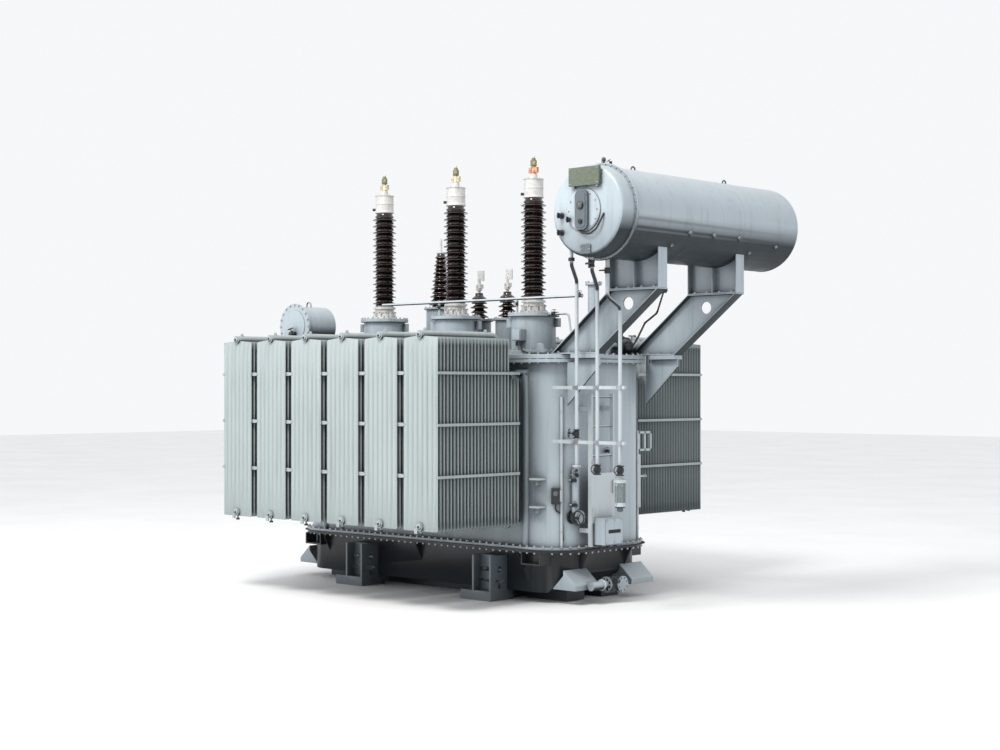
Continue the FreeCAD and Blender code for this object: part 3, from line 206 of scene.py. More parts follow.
def clear_glass():
    """Borosilicate sight glass: thin, clear and sharply shining, with a slight ripple."""
    material, tree, shader = finish("sight_glass", IOR=1.47, Roughness=0.03,
                                    Transmission_Weight=0.92, Base_Color=linear("#DCE6E6"))
    bumped(tree, shader, noise(tree, 12.0, detail=1.0), 0.0006, 0.3)
    return material


TANK_PAINT = enamel("light_grey_tank_enamel", "#ADB9C1", corner_shade=0.8, reach=0.7)
RADIATOR_PAINT = enamel("light_grey_radiator_enamel", "#9FA9AA", corner_shade=0.75, reach=0.16)
PIPE_PAINT = enamel("pale_grey_pipe_enamel", "#BCC5C9", corner_shade=0.35, reach=0.16)
# painted shade: the underframe's near-black colour stands for the shade under the radiators
SHADE_DARKENED_BASE_PAINT = enamel("shade_darkened_underframe_enamel", "#171A1D", dust="#4C5154", corner_shade=0.85, reach=0.7)
# painted shade: the jacking brackets' mid grey stands for the half shade they stand in
HALF_SHADED_BRACKET_PAINT = enamel("half_shaded_bracket_enamel", "#78838A", corner_shade=0.85, reach=0.7)
RELAY_PAINT = enamel("slate_grey_relay_enamel", "#353B3F", dust="#7C7D79", corner_shade=0.3)
PLATE_ENAMEL = even_finish("olive_plate_enamel", "#606957", "#4D5548", 0.32)
GLAZE = porcelain_glaze()
ALUMINIUM = cast_metal("sand_cast_aluminium", "#D2D1CE", dull="#A9A7A3", metallic=0.3, rough=0.48)
TINNED = cast_metal("tinned_terminal_copper", "#CFC3A2", dull="#8A7F5E", metallic=0.9, rough=0.36)
BRONZE = cast_metal("weathered_clamp_bronze", "#8D8A66", dull="#5E6450", metallic=0.8, rough=0.5)
COPPER = cast_metal("bare_terminal_copper", "#C98E6E", dull="#93604A", metallic=0.95, rough=0.32)
ZINC = zinc_plate()
STEEL_GREY = even_finish("slate_instrument_enamel", "#5B656B", "#4A5358", 0.36)
VALVE_BLACK = even_finish("black_cast_iron_enamel", "#23272A", "#15181A", 0.38, 0.0008, 90.0)
RUBBER = even_finish("nitrile_gasket_rubber", "#1C1D1E", "#121313", 0.62)
CABLE_SHEATH = even_finish("black_cable_sheath", "#26282A", "#191B1C", 0.5, 0.0002, 200.0)
DIAL_WHITE = even_finish("white_dial_enamel", "#DAD9D2", "#C9C8C0", 0.4, 0.0001)
BEADS = even_finish("drying_beads", "#AEB8BC", "#8B969B", 0.45, 0.004, 70.0)
GLASS = clear_glass()


# ---------------------------------------------------------------- repeats made by rule

def grower(name, inputs):
    """An empty geometry tree with the named inputs; each is a socket type's short name."""
    tree = bpy.data.node_groups.new(name, "GeometryNodeTree")
    tree.interface.new_socket("Geometry", in_out="OUTPUT", socket_type="NodeSocketGeometry")
    tree.interface.new_socket("Geometry", in_out="INPUT", socket_type="NodeSocketGeometry")
    for label, kind in {**inputs, "Finish": "Material"}.items():
        tree.interface.new_socket(label, in_out="INPUT", socket_type="NodeSocket" + kind)
    return tree, add(tree, "NodeGroupInput").outputs


def finished(tree, given, shapes):
    """Ends a tree: real geometry, with the finish on it."""
    real = add(tree, "GeometryNodeRealizeInstances", {"Geometry": shapes}).outputs["Geometry"]
    painted = add(tree, "GeometryNodeSetMaterial", {"Geometry": real, "Material": given["Finish"]})
    add(tree, "NodeGroupOutput", {"Geometry": painted.outputs["Geometry"]})
    return tree


def grown(tree, paint, start=None, **settings):
    """The plain mesh that a tree gives for these settings."""
    holder = bpy.data.objects.new("grown", start or bpy.data.meshes.new("seed"))
    bpy.context.scene.collection.objects.link(holder)
    modifier = holder.modifiers.new("rule", "NODES")
    modifier.node_group = tree
    values = {**settings, "Finish": paint}
    for socket in tree.interface.items_tree:
        if socket.in_out == "INPUT" and socket.name in values:
            modifier[socket.identifier] = values[socket.name]
    ready = holder.evaluated_get(bpy.context.evaluated_depsgraph_get())
    mesh = bpy.data.meshes.new_from_object(ready)
    mesh.materials.clear()
    mesh.materials.append(paint)
    bpy.data.objects.remove(holder)
    return mesh


def bolt_shape(tree, size):
    """Washer, hexagon nut and the end of the stud, standing up from the origin."""
    parts = []
    for sides, radius, height in ((12, 1.15, 0.2), (6, 0.95, 1.0), (8, 0.48, 1.45)):
        tall = maths(tree, "MULTIPLY", size, height)
        rod = add(tree, "GeometryNodeMeshCylinder",
                  {"Vertices": sides, "Radius": maths(tree, "MULTIPLY", size, radius), "Depth": tall})
        lift = add(tree, "ShaderNodeCombineXYZ", {"Z": maths(tree, "MULTIPLY", tall, 0.5)})
        parts.append(add(tree, "GeometryNodeTransform", {"Geometry": rod.outputs["Mesh"],
                                                         "Translation": lift.outputs[0]}))
    bolt = add(tree, "GeometryNodeJoinGeometry")
    for part in parts:
        tree.links.new(part.outputs["Geometry"], bolt.inputs["Geometry"])
    return bolt.outputs["Geometry"]


def around(tree, count, radius, shape):
    """A shape repeated around the Z axis, each copy turned to face outwards."""
    ring = add(tree, "GeometryNodeMeshCircle", {"Vertices": count, "Radius": radius})
    step = maths(tree, "DIVIDE", math.tau, count)
    angle = maths(tree, "MULTIPLY", add(tree, "GeometryNodeInputIndex").outputs[0], step)
    turn = add(tree, "ShaderNodeCombineXYZ", {"Z": angle}).outputs[0]
    return add(tree, "GeometryNodeInstanceOnPoints",
               {"Points": ring.outputs["Mesh"], "Instance": shape, "Rotation": turn}).outputs[0]


def bolt_circle_tree():
    tree, given = grower("bolt_circle", {"Count": "Int", "Radius": "Float", "Bolt": "Float"})
    bolt = bolt_shape(tree, given["Bolt"])
    return finished(tree, given, around(tree, given["Count"], given["Radius"], bolt))


def block_circle_tree():
    """Upright blocks in a ring, as in a clamped collar."""
    tree, given = grower("block_circle", {"Count": "Int", "Radius": "Float", "Block": "Vector"})
    block = add(tree, "GeometryNodeMeshCube", {"Size": given["Block"]}).outputs["Mesh"]
    return finished(tree, given, around(tree, given["Count"], given["Radius"], block))


def bolt_path_tree():
    """Bolts at even steps along the edges of the mesh that is given."""
    tree, given = grower("bolt_path", {"Spacing": "Float", "Bolt": "Float"})
    path = add(tree, "GeometryNodeMeshToCurve", {"Mesh": given["Geometry"]}).outputs["Curve"]
    steps = add(tree, "GeometryNodeResampleCurve", {"Curve": path, "Length": given["Spacing"]},
                mode="LENGTH").outputs["Curve"]
    bolts = add(tree, "GeometryNodeInstanceOnPoints",
                {"Points": steps, "Instance": bolt_shape(tree, given["Bolt"])}).outputs[0]
    return finished(tree, given, bolts)


def single_bolt_tree():
    """One bolt on each vertex of the mesh that is given."""
    tree, given = grower("single_bolts", {"Bolt": "Float"})
    bolts = add(tree, "GeometryNodeInstanceOnPoints",
                {"Points": given["Geometry"], "Instance": bolt_shape(tree, given["Bolt"])}).outputs[0]
    return finished(tree, given, bolts)


def pressed_panel_tree():
    """A row of radiator panels: two sheets welded at their rims, with oil channels pressed out
    between the welds. It stands in the XZ plane on Z = 0, and the row runs along +Y."""
    tree, given = grower("pressed_panels", {
        "Width": "Float", "Height": "Float", "Crown": "Float", "Channels": "Int",
        "Depth": "Float", "Panels": "Int", "Pitch": "Float"})

    def calc(operation, *values):
        return maths(tree, operation, *values)

    steps_across_channel, rows_up = 6, 9
    columns = calc("MULTIPLY_ADD", given["Channels"], steps_across_channel, 1.0)
    sheet = add(tree, "GeometryNodeMeshGrid", {"Size X": 1.0, "Size Y": 1.0, "Vertices X": columns,
                                               "Vertices Y": rows_up})
    spot = add(tree, "ShaderNodeSeparateXYZ",
               {"Vector": add(tree, "GeometryNodeInputPosition").outputs[0]}).outputs
    side, level = spot["X"], spot["Y"]
    # the rows crowd towards both ends, where the channels taper out
    height = given["Height"]
    from_end = calc("SUBTRACT", 1.0, calc("ABSOLUTE", calc("MULTIPLY", level, 2.0)))
    reach = calc("MULTIPLY", calc("POWER", from_end, 3.0), calc("MULTIPLY", height, 0.5))
    z_plain = add(tree, "ShaderNodeMix", {0: calc("GREATER_THAN", level, 0.0), 2: reach,
                                          3: calc("SUBTRACT", height, reach)}).outputs[0]
    # the crown lifts the middle of the top edge towards the header
    off_middle = calc("ABSOLUTE", side)
    slope = spread(tree, off_middle, 0.145, 0.5, 1.0, 0.0)
    top_share = calc("POWER", calc("DIVIDE", z_plain, height), 12.0)
    lift = calc("MULTIPLY", calc("MULTIPLY", slope, top_share), given["Crown"])
    # each channel is a flat-topped wave, full height away from the ends and the rims
    across = calc("MULTIPLY", calc("ADD", side, 0.5), given["Channels"])
    wave = calc("ABSOLUTE", calc("SINE", calc("MULTIPLY", across, math.pi)))
    flat_top = calc("MINIMUM", calc("MULTIPLY", wave, 1.45), 1.0)
    taper = add(tree, "ShaderNodeMapRange", {"Value": reach, "From Min": 0.012, "From Max": 0.085},
                interpolation_type="SMOOTHSTEP").outputs[0]
    sheet_half = 0.0016
    inner = calc("MULTIPLY", calc("GREATER_THAN", from_end, 0.001),
                 calc("LESS_THAN", off_middle, 0.4999))
    bulge = calc("MULTIPLY_ADD", calc("MULTIPLY", flat_top, taper), given["Depth"], sheet_half)
    out = calc("MULTIPLY", bulge, inner)
    place = add(tree, "ShaderNodeCombineXYZ", {
        "X": calc("MULTIPLY", side, given["Width"]), "Y": calc("MULTIPLY", out, -1.0),
        "Z": calc("ADD", z_plain, lift)})
    front = add(tree, "GeometryNodeSetPosition",
                {"Geometry": sheet.outputs["Mesh"], "Position": place.outputs[0]}).outputs[0]
    mirrored = add(tree, "GeometryNodeTransform", {"Geometry": front, "Scale": (1, -1, 1)}).outputs[0]
    back = add(tree, "GeometryNodeFlipFaces", {"Mesh": mirrored}).outputs[0]
    both = add(tree, "GeometryNodeJoinGeometry")
    tree.links.new(front, both.inputs["Geometry"])
    tree.links.new(back, both.inputs["Geometry"])
    panel = add(tree, "GeometryNodeMergeByDistance",
                {"Geometry": both.outputs["Geometry"], "Distance": 0.0002}).outputs[0]
    row = add(tree, "GeometryNodeMeshLine", {
        "Count": given["Panels"],
        "Offset": add(tree, "ShaderNodeCombineXYZ", {"Y": given["Pitch"]}).outputs[0]})
    panels = add(tree, "GeometryNodeInstanceOnPoints",
                 {"Points": row.outputs["Mesh"], "Instance": panel}).outputs[0]
    return finished(tree, given, panels)


BOLT_CIRCLE = bolt_circle_tree()
BLOCK_CIRCLE = block_circle_tree()
BOLT_PATH = bolt_path_tree()
SINGLE_BOLT = single_bolt_tree()
PRESSED_PANELS = pressed_panel_tree()


# ---------------------------------------------------------------- shapes

def facing(place, axis):
    """The matrix that sets a shape, made along +Z, at a place and along an axis."""
    axis = Vector(axis)
    if axis.normalized().z < -0.9999:
        turn = Euler((math.pi, 0, 0)).to_matrix()
    else:
        turn = UP.rotation_difference(axis).to_matrix()
    return Matrix.Translation(Vector(place)) @ turn.to_4x4()


def on_circle(k, count, radius=1.0, height=0.0, start=0.0):
    """One of a number of even places around the Z axis."""
    angle = start + math.tau * k / count
    return Vector((radius * math.cos(angle), radius * math.sin(angle), height))


def rounded_path(points, bend):
    """The points with each inner corner replaced by an arc."""
    steps = 6
    points = [Vector(p) for p in points]
    path = points[:1]
    for before, corner, after in zip(points, points[1:], points[2:]):
        inward = (before - corner).normalized()
        outward = (after - corner).normalized()
        half = (math.pi - inward.angle(outward)) / 2
        reach = min(bend * math.tan(half), (before - corner).length / 2, (after - corner).length / 2)
        radius = reach / math.tan(half)
        centre = corner + (inward + outward).normalized() * (radius / math.cos(half))
        start = (corner + inward * reach - centre).normalized()
        end = (corner + outward * reach - centre).normalized()
        path += [centre + radius * start.slerp(end, k / steps) for k in range(steps + 1)]
    return path + [points[-1]]


class Shape:
    """Solids gathered into one mesh in the object's own frame, in one or more finishes."""

    def __init__(self):
        self.mesh = bmesh.new()
        self.paints = []

    def paint_from(self, paint, first_face):
        if paint not in self.paints:
            self.paints.append(paint)
        self.mesh.faces.ensure_lookup_table()
        for face in self.mesh.faces[first_face:]:
            face.material_index = self.paints.index(paint)

    def take(self, mesh, matrix):
        """Adds a ready mesh with its own finishes, set at a matrix."""
        first = len(self.mesh.faces)
        copy = mesh.copy()
        copy.transform(matrix)
        self.mesh.from_mesh(copy)
        bpy.data.meshes.remove(copy)
        self.paints += [paint for paint in mesh.materials if paint not in self.paints]
        places = [self.paints.index(paint) for paint in mesh.materials]
        self.mesh.faces.ensure_lookup_table()
        for face in self.mesh.faces[first:]:
            face.material_index = places[min(face.material_index, len(places) - 1)]
        return self

    def skin(self, rings, paint):
        """Sides between neighbouring rings of vertices, and a cap on each end."""
        first = len(self.mesh.faces)
        self.mesh.faces.new(rings[0][::-1])
        self.mesh.faces.new(rings[-1])
        for lower, upper in zip(rings, rings[1:]):
            for k in range(len(lower)):
                after = (k + 1) % len(lower)
                self.mesh.faces.new((lower[k], lower[after], upper[after], upper[k]))
        self.paint_from(paint, first)
        return self

    def block(self, low, high, paint=TANK_PAINT, about=(0, 0, 0)):
        """A box between two corners, which are measured from the place it is about."""
        first = len(self.mesh.faces)
        low, high = Vector(about) + Vector(low), Vector(about) + Vector(high)
        spots = [Vector((x, y, z)) for z in (low.z, high.z) for y in (low.y, high.y)
                 for x in (low.x, high.x)]
        verts = [self.mesh.verts.new(spot) for spot in spots]
        for corners in ((0, 2, 3, 1), (4, 5, 7, 6), (0, 1, 5, 4), (2, 6, 7, 3), (0, 4, 6, 2),
                        (1, 3, 7, 5)):
            self.mesh.faces.new([verts[k] for k in corners])
        self.paint_from(paint, first)
        return self

    def plate(self, outline, thickness, matrix, paint):
        """A flat plate from an outline in its own XY plane, with its foot on that plane."""
        return self.skin([[self.mesh.verts.new(matrix @ Vector((x, y, z))) for x, y in outline]
                          for z in (0.0, thickness)], paint)

    def turned(self, profile, place, axis, paint, steps):
        """A closed shape turned on a lathe; the profile is (radius, height) from foot to top."""
        matrix = facing(place, axis)
        return self.skin([[self.mesh.verts.new(matrix @ on_circle(k, steps, radius, height))
                           for k in range(steps)] for radius, height in profile], paint)

    def disc(self, radius, thick, place, axis, paint, steps):
        return self.turned([(radius, 0), (radius, thick)], place, axis, paint, steps)

    def rod(self, start, end, radius, paint, steps=14):
        reach = Vector(end) - Vector(start)
        return self.disc(radius, reach.length, start, reach, paint, steps)

    def tube(self, points, radius, bend=0.05, paint=PIPE_PAINT, steps=12):
        """A round pipe or cable through the points, with rounded corners."""
        path = rounded_path(points, bend)
        heading = (path[1] - path[0]).normalized()
        side = heading.orthogonal().normalized()
        rings = []
        for k, spot in enumerate(path):
            onward = (path[min(k + 1, len(path) - 1)] - path[max(k - 1, 0)]).normalized()
            side = (side - onward * side.dot(onward)).normalized()
            other = onward.cross(side)
            rings.append([self.mesh.verts.new(spot + radius * (
                math.cos(math.tau * n / steps) * side + math.sin(math.tau * n / steps) * other))
                for n in range(steps)])
        return self.skin(rings, paint)

    def bolts(self, count, radius, place, axis, size):
        """Bolts on a circle about an axis."""
        ring = grown(BOLT_CIRCLE, ZINC, Count=count, Radius=radius, Bolt=size)
        return self.take(ring, facing(place, axis))

    def bolt(self, place, axis, size):
        seed = bpy.data.meshes.new("spot")
        seed.from_pydata([(0, 0, 0)], [], [])
        return self.take(grown(SINGLE_BOLT, ZINC, seed, Bolt=size), facing(place, axis))

    def bolt_row(self, points, spacing, size, matrix=Matrix(), closed=False):
        """Bolts along straight or curved runs through the points."""
        seed = bpy.data.meshes.new("path")
        count = len(points)
        edges = [(k, (k + 1) % count) for k in range(count if closed else count - 1)]
        seed.from_pydata([Vector(p) for p in points], edges, [])
        return self.take(grown(BOLT_PATH, ZINC, seed, Spacing=spacing, Bolt=size), matrix)

    def mesh_only(self, name):
        mesh = bpy.data.meshes.new(name)
        self.mesh.to_mesh(mesh)
        for paint in self.paints:
            mesh.materials.append(paint)
        return mesh

    def piece(self, name, slot, bevel=0.0, replaces=(), sharp=32):
        """The finished piece, riding on the one body."""
        return rest_on_body(self.mesh_only(name), name, bevel, replaces, sharp)


def rest_on_body(mesh, name, bevel, replaces, sharp=32):
    """Puts a mesh in the scene as a piece: smooth round faces, crisp edges and worn-round arrises."""
    mesh.name = name
    mesh.shade_smooth()
    mesh.set_sharp_from_angle(angle=math.radians(sharp))
    piece = bpy.data.objects.new(name, mesh)
    bpy.context.scene.collection.objects.link(piece)
    if bevel:
        rounding = piece.modifiers.new("rounded_edges", "BEVEL")
        rounding.width = bevel
        rounding.segments = 2
        rounding.limit_method = "ANGLE"
        rounding.angle_limit = math.radians(sharp)
        rounding.harden_normals = True
        ready = piece.evaluated_get(bpy.context.evaluated_depsgraph_get())
        rounded = bpy.data.meshes.new_from_object(ready)
        piece.modifiers.clear()
        piece.data = rounded
        rounded.name = name
    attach(piece, BODY)
    if replaces:
        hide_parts(*replaces)
    return piece


def dress(node, paint):
    """A CAD node as it is, with its loose faces merged, its edges rounded and its finish on."""
    mesh = bpy.data.meshes.new(node)
    loose = bmesh.new()
    loose.from_mesh(NODES[node].data)
    bmesh.ops.remove_doubles(loose, verts=loose.verts, dist=1e-5)
    bmesh.ops.dissolve_limit(loose, angle_limit=math.radians(0.4), verts=loose.verts,
                             edges=loose.edges)
    loose.to_mesh(mesh)
    loose.free()
    mesh.materials.clear()
    mesh.materials.append(paint)
    return rest_on_body(mesh, node + "_dressed", 0.004, (node,))


def hoop(shape, place, axis, radius, thick, paint, steps=28, sides=8):
    """A round bar bent into a ring."""
    first = len(shape.mesh.faces)
    matrix = facing(place, axis)
    rings = []
    for k in range(steps):
        out = on_circle(k, steps)
        rings.append([shape.mesh.verts.new(matrix @ (
            out * (radius + thick * math.cos(math.tau * n / sides))
            + UP * thick * math.sin(math.tau * n / sides))) for n in range(sides)])
    for k in range(steps):
        lower, upper = rings[k], rings[(k + 1) % steps]
        for n in range(sides):
            after = (n + 1) % sides
            shape.mesh.faces.new((lower[n], upper[n], upper[after], lower[after]))
    shape.paint_from(paint, first)


def handwheel(shape, place, axis, radius):
    """Rim, three spokes, hub and the nut on its stem."""
    place, axis = Vector(place), Vector(axis).normalized()
    thick = radius * 0.1
    hoop(shape, place, axis, radius, thick, VALVE_BLACK)
    shape.turned([(radius * 0.22, -radius * 0.16), (radius * 0.26, 0), (radius * 0.18, radius * 0.18)],
                 place, axis, VALVE_BLACK, 12)
    matrix = facing(place, axis)
    for k in range(3):
        shape.rod(place, matrix @ on_circle(k, 3, radius), thick * 0.8, VALVE_BLACK, 6)


def valve(shape, place, along, wheel, size):
    """Two end flanges, a round body, a bonnet and its handwheel; size is about the pipe's radius."""
    place, along, wheel = Vector(place), Vector(along), Vector(wheel).normalized()
    body = ((1.6, -2.0), (1.6, -1.6), (0.95, -1.5), (1.25, -0.6), (1.25, 0.6), (0.95, 1.5), (1.6, 1.6),
            (1.6, 2.0))
    shape.turned([(size * r, size * z) for r, z in body], place, along, VALVE_BLACK, 20)
    stem = place + wheel * size * 3.6
    bonnet = ((0.9, 0.0), (0.9, 1.4), (1.15, 1.5), (1.15, 1.8), (0.4, 2.0), (0.22, 3.6))
    shape.turned([(size * r, size * z) for r, z in bonnet], place, wheel, VALVE_BLACK, 14)
    handwheel(shape, stem, wheel, size * 1.9)


def upright(place):
    """The matrix that stands a flat outline up at a place, to thicken towards the front."""
    return Matrix.Translation(place) @ Matrix.Rotation(math.pi / 2, 4, "X")


def centre_of(node):
    low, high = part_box(node)
    return (low + high) / 2


def foot_of(node):
    """The middle of the underside of a node's box."""
    return Vector((*centre_of(node).xy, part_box(node)[0].z))


def head_of(node):
    """The middle of the top of a node's box."""
    return Vector((*centre_of(node).xy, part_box(node)[1].z))


def three_along(low, high, inset):
    """Three even places between two ends, the outer two set in from them."""
    return low + inset, (low + high) / 2, high - inset


# ---------------------------------------------------------------- driving places

COVER_LOW, COVER_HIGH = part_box("tank_cover")
COVER_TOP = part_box("hv_turret_1")[0].z
RIM_OVERHANG = 0.1
WALL_END = COVER_HIGH.x - RIM_OVERHANG
WALL_SIDE = COVER_HIGH.y - RIM_OVERHANG
WALL_CORNER = 0.4
FLANGE_LOW, FLANGE_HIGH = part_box("tank_body")
JOINT_LEVEL = FLANGE_LOW.z
JOINT_PLATE = 0.03
DISC_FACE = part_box("conservator_cover")[0].y
DRUM_AXIS = centre_of("conservator_cover")
DRUM_AXIS.y = 0.0
DRUM_RADIUS = 0.475
DRUM_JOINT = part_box("conservator_shell")[0].y
PHASES = (1, 2, 3)
PIPE_SPOTS = (2.495, 2.785, 3.1)
PIPE_PLANE = -0.86
CAP_HEIGHT = 0.28
RIM_FLANGE = 0.04
BOLT_INSET = 0.036
STRAP_LEVELS = (0.575, 1.125, 1.675)


def corner_spot(degrees, level, side=-1, out=0.0):
    """A place on one of the tank's round upright corners at its +X end, and the way out of it."""
    angle = math.radians(degrees)
    way = Vector((math.cos(angle), side * math.sin(angle), 0))
    middle = Vector((WALL_END - WALL_CORNER, side * (WALL_SIDE - WALL_CORNER), level))
    return middle + way * (WALL_CORNER + out), way


def rounded_outline(half_long, half_wide, corner, steps=8):
    """Points around a rectangle with round corners."""
    points = []
    for quarter, (sx, sy) in enumerate(((1, 1), (-1, 1), (-1, -1), (1, -1))):
        for k in range(steps + 1):
            angle = math.pi / 2 * (quarter + k / steps)
            points.append((sx * (half_long - corner) + corner * math.cos(angle),
                           sy * (half_wide - corner) + corner * math.sin(angle)))
    return points


# ---------------------------------------------------------------- pieces

PAINTS = {"tank_paint": TANK_PAINT, "pipe_paint": PIPE_PAINT, "porcelain_glaze": GLAZE,
          "bushing_metal": ALUMINIUM, "terminal_metal": ALUMINIUM, "relay_paint": RELAY_PAINT}
# nodes that stand mostly in shade take the darker paints above, which are painted shade
SHADE_PAINTED_NODES = {"base_tray": SHADE_DARKENED_BASE_PAINT, "jacking_brackets_front": HALF_SHADED_BRACKET_PAINT,
              "jacking_brackets_rear": HALF_SHADED_BRACKET_PAINT}
REBUILT = ("radiator_", "hv_porcelain", "neutral_porcelain", "lv_porcelains", "breather")


def dress_cad_nodes():
    """Every node that keeps its own shape."""
    for entry in frame["record"]["subparts"]:
        node, slot = entry["node"], entry["material_slot"]
        if not node.startswith(REBUILT):
            dress(node, SHADE_PAINTED_NODES.get(node, PAINTS[slot]))


def radiator_mesh():
    """One radiator about its own foot: X across, Y inwards from the outer face, Z up."""
    width, pitch, thick, long_panels, short_panels = 0.52, 0.052, 0.02, 22, 3
    height, short_height, crown = 2.05, 1.62, 0.018
    depth = pitch * (long_panels + short_panels - 1) + thick
    shape = Shape()
    for panels, start, tall, rise in ((long_panels, 0, height, crown),
                                      (short_panels, long_panels, short_height, 0.0)):
        row = grown(PRESSED_PANELS, RADIATOR_PAINT, Width=width, Height=tall, Crown=rise,
                    Channels=7, Depth=0.0105, Panels=panels, Pitch=pitch)
        shape.take(row, Matrix.Translation((0, pitch * start + thick / 2, 0)))
    high, neck, turn_y = height + 0.035, short_height - 0.02, pitch * long_panels + 0.028
    header, plug = 0.046, 0.014  # the headers' radius, and how far their ends stand out
    shape.tube([(0, -plug, high), (0, turn_y, high), (0, turn_y, neck), (0, depth, neck)], header,
               0.09, RADIATOR_PAINT, 20)
    shape.rod((0, -plug, header), (0, depth, header), header, RADIATOR_PAINT, 20)
    for level in (high, header):
        shape.turned([(0.032, 0), (0.032, 0.01), (0.024, 0.014)], (0, -plug + 0.002, level), FRONT,
                     RADIATOR_PAINT, 16)
        shape.disc(0.012, 0.012, (0, -plug - 0.01, level), FRONT, VALVE_BLACK, 6)
    for y in (0.08, turn_y - 0.17):
        eye = [(-0.028, 0), (0.028, 0), (0.014, 0.035), (-0.014, 0.035)]
        shape.plate(eye, 0.01, upright((0, y, high + header - 0.008)), RADIATOR_PAINT)
    drain = Vector((0.0, 0.012, 0.0))
    shape.rod(drain, drain - UP * 0.03, 0.012, RADIATOR_PAINT, 10)
    shape.turned([(0.022, 0), (0.022, 0.02), (0.012, 0.022)], drain - UP * 0.045, UP, VALVE_BLACK, 6)
    shape.block((-0.09, 0.0, -0.03), (-0.045, 0.012, 0.03), RADIATOR_PAINT)
    for middle in STRAP_LEVELS:
        for side in (-1, 1):
            inner, outer = side * (width / 2 - 0.001), side * (width / 2 + 0.012)
            shape.block((min(inner, outer), -0.004, middle - 0.015),
                        (max(inner, outer), depth, middle + 0.015), RADIATOR_PAINT)
        shape.block((-width / 2, -0.006, middle - 0.012), (-width / 2 + 0.03, 0.0, middle + 0.012),
                    RADIATOR_PAINT)
    return shape.mesh_only("radiator")


def radiators():
    """Twelve radiators, with short ties across the gaps between neighbours."""
    pattern = radiator_mesh()
    tie = Shape()
    for node in sorted(name for name in NODES if name.startswith("radiator_")):
        low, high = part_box(node)
        front = "front" in node
        middle = (low.x + high.x) / 2
        face = low.y + 0.025 if front else high.y - 0.025
        matrix = Matrix.Translation((middle, face, low.z))
        if not front:
            matrix = matrix @ Matrix.Rotation(math.pi, 4, "Z")
        Shape().take(pattern, matrix).piece(node + "_pressed", "radiator_paint",
                                            replaces=(node,), sharp=40)
        if not node.endswith("_6"):
            inward = 0.03 if front else -0.03
            y_low, y_high = sorted((face + inward * 0.4, face + inward * 1.6))
            for level in STRAP_LEVELS:
                z = low.z + level
                tie.block((high.x - 0.02, y_low, z - 0.02), (high.x + 0.1, y_high, z + 0.02),
                          RADIATOR_PAINT)
    tie.piece("radiator_ties", "radiator_paint", 0.002)


def shed_profile(foot_core, top_core, length, tips, first, thickness, droop):
    """Outline of a porcelain: its core, and one drooping shed for each tip radius."""
    pitch = (length - first) / len(tips)
    profile = [(foot_core + 0.012, 0.0), (foot_core + 0.012, first * 0.3)]
    for k, tip in enumerate(tips):
        z = first + pitch * k
        core = foot_core + (top_core - foot_core) * z / length
        profile += [(core, z - thickness * 0.3), (core + (tip - core) * 0.45, z - droop * 0.35),
                    (tip - 0.006, z - droop), (tip - 0.001, z - droop + 0.002),
                    (tip, z - droop * 0.55), (tip - 0.004, z - droop * 0.2),
                    (core + (tip - core) * 0.4, z + thickness * 0.45), (core, z + thickness)]
    return profile + [(top_core, length - 0.004), (top_core, length)]


def glazed(shape, node):
    shape.piece(node + "_glazed", "porcelain_glaze", replaces=(node,), sharp=50)


def height_of(node):
    low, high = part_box(node)
    return high.z - low.z


def porcelains():
    """Glazed bodies with their sheds, on the cores of the CAD nodes."""
    tips = [0.150 if k % 2 == 0 else 0.122 for k in range(28)]
    for number in PHASES:
        node = "hv_porcelain_%d" % number
        profile = shed_profile(0.102, 0.102, height_of(node), tips, 0.045, 0.016, 0.014)
        glazed(Shape().turned(profile, foot_of(node), UP, GLAZE, 56), node)
    slim = [(0.157 - 0.0064 * k) * (0.88 if k % 2 else 1.0) for k in range(13)]
    profile = shed_profile(0.106, 0.05, height_of("neutral_porcelain"), slim, 0.05, 0.018, 0.016)
    glazed(Shape().turned(profile, foot_of("neutral_porcelain"), UP, GLAZE, 48), "neutral_porcelain")
    low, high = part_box("lv_porcelains")
    brims = (0.118, 0.104, 0.114, 0.1, 0.094)
    profile = shed_profile(0.062, 0.05, high.z - low.z, brims, 0.04, 0.024, 0.018)
    row = Shape()
    for x in three_along(low.x, high.x, brims[0]):
        row.turned(profile, (x, (low.y + high.y) / 2, low.z), UP, GLAZE, 40)
    glazed(row, "lv_porcelains")


def cap_of(number):
    """The foot of a high-voltage bushing's cap, on the bushing's axis."""
    return Vector((*centre_of("hv_sleeve_%d" % number).xy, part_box("hv_head_%d" % number)[0].z))


def bushing_collar(number):
    """Lugs, bolts and gaskets of a high-voltage bushing's collar, and its cap's rims and bolts."""
    shape = Shape()
    sleeve, cap = foot_of("hv_sleeve_%d" % number), cap_of(number)
    lugs = grown(BLOCK_CIRCLE, ALUMINIUM, Count=10, Radius=0.122, Block=(0.034, 0.042, 0.056))
    shape.take(lugs, Matrix.Translation(sleeve + UP * 0.053))
    shape.bolts(10, 0.142, sleeve + UP * 0.081, UP, 0.011)
    shape.disc(0.118, 0.034, sleeve + UP * 0.092, UP, RUBBER, 40)
    shape.turned([(0.139, 0), (0.139, 0.024), (0.116, 0.03)], sleeve + UP * 0.126, UP, ALUMINIUM, 40)
    shape.disc(0.106, 0.012, sleeve + UP * 0.160, UP, RUBBER, 40)
    shape.turned([(0.119, 0.0), (0.119, 0.022), (0.1145, 0.03)], cap, UP, ALUMINIUM, 40)
    shape.turned([(0.1145, 0.10), (0.117, 0.106), (0.117, 0.12), (0.1145, 0.126)], cap, UP,
                 ALUMINIUM, 40)
    shape.bolts(8, 0.095, cap + UP * 0.22, UP, 0.009)
    plug, left = cap + UP * 0.045, Vector((-0.73, -0.68, 0))
    shape.rod(plug + left * 0.1, plug + left * 0.15, 0.017, VALVE_BLACK)
    shape.piece("bushing_fittings_%d" % number, "bushing_metal", 0.0015)


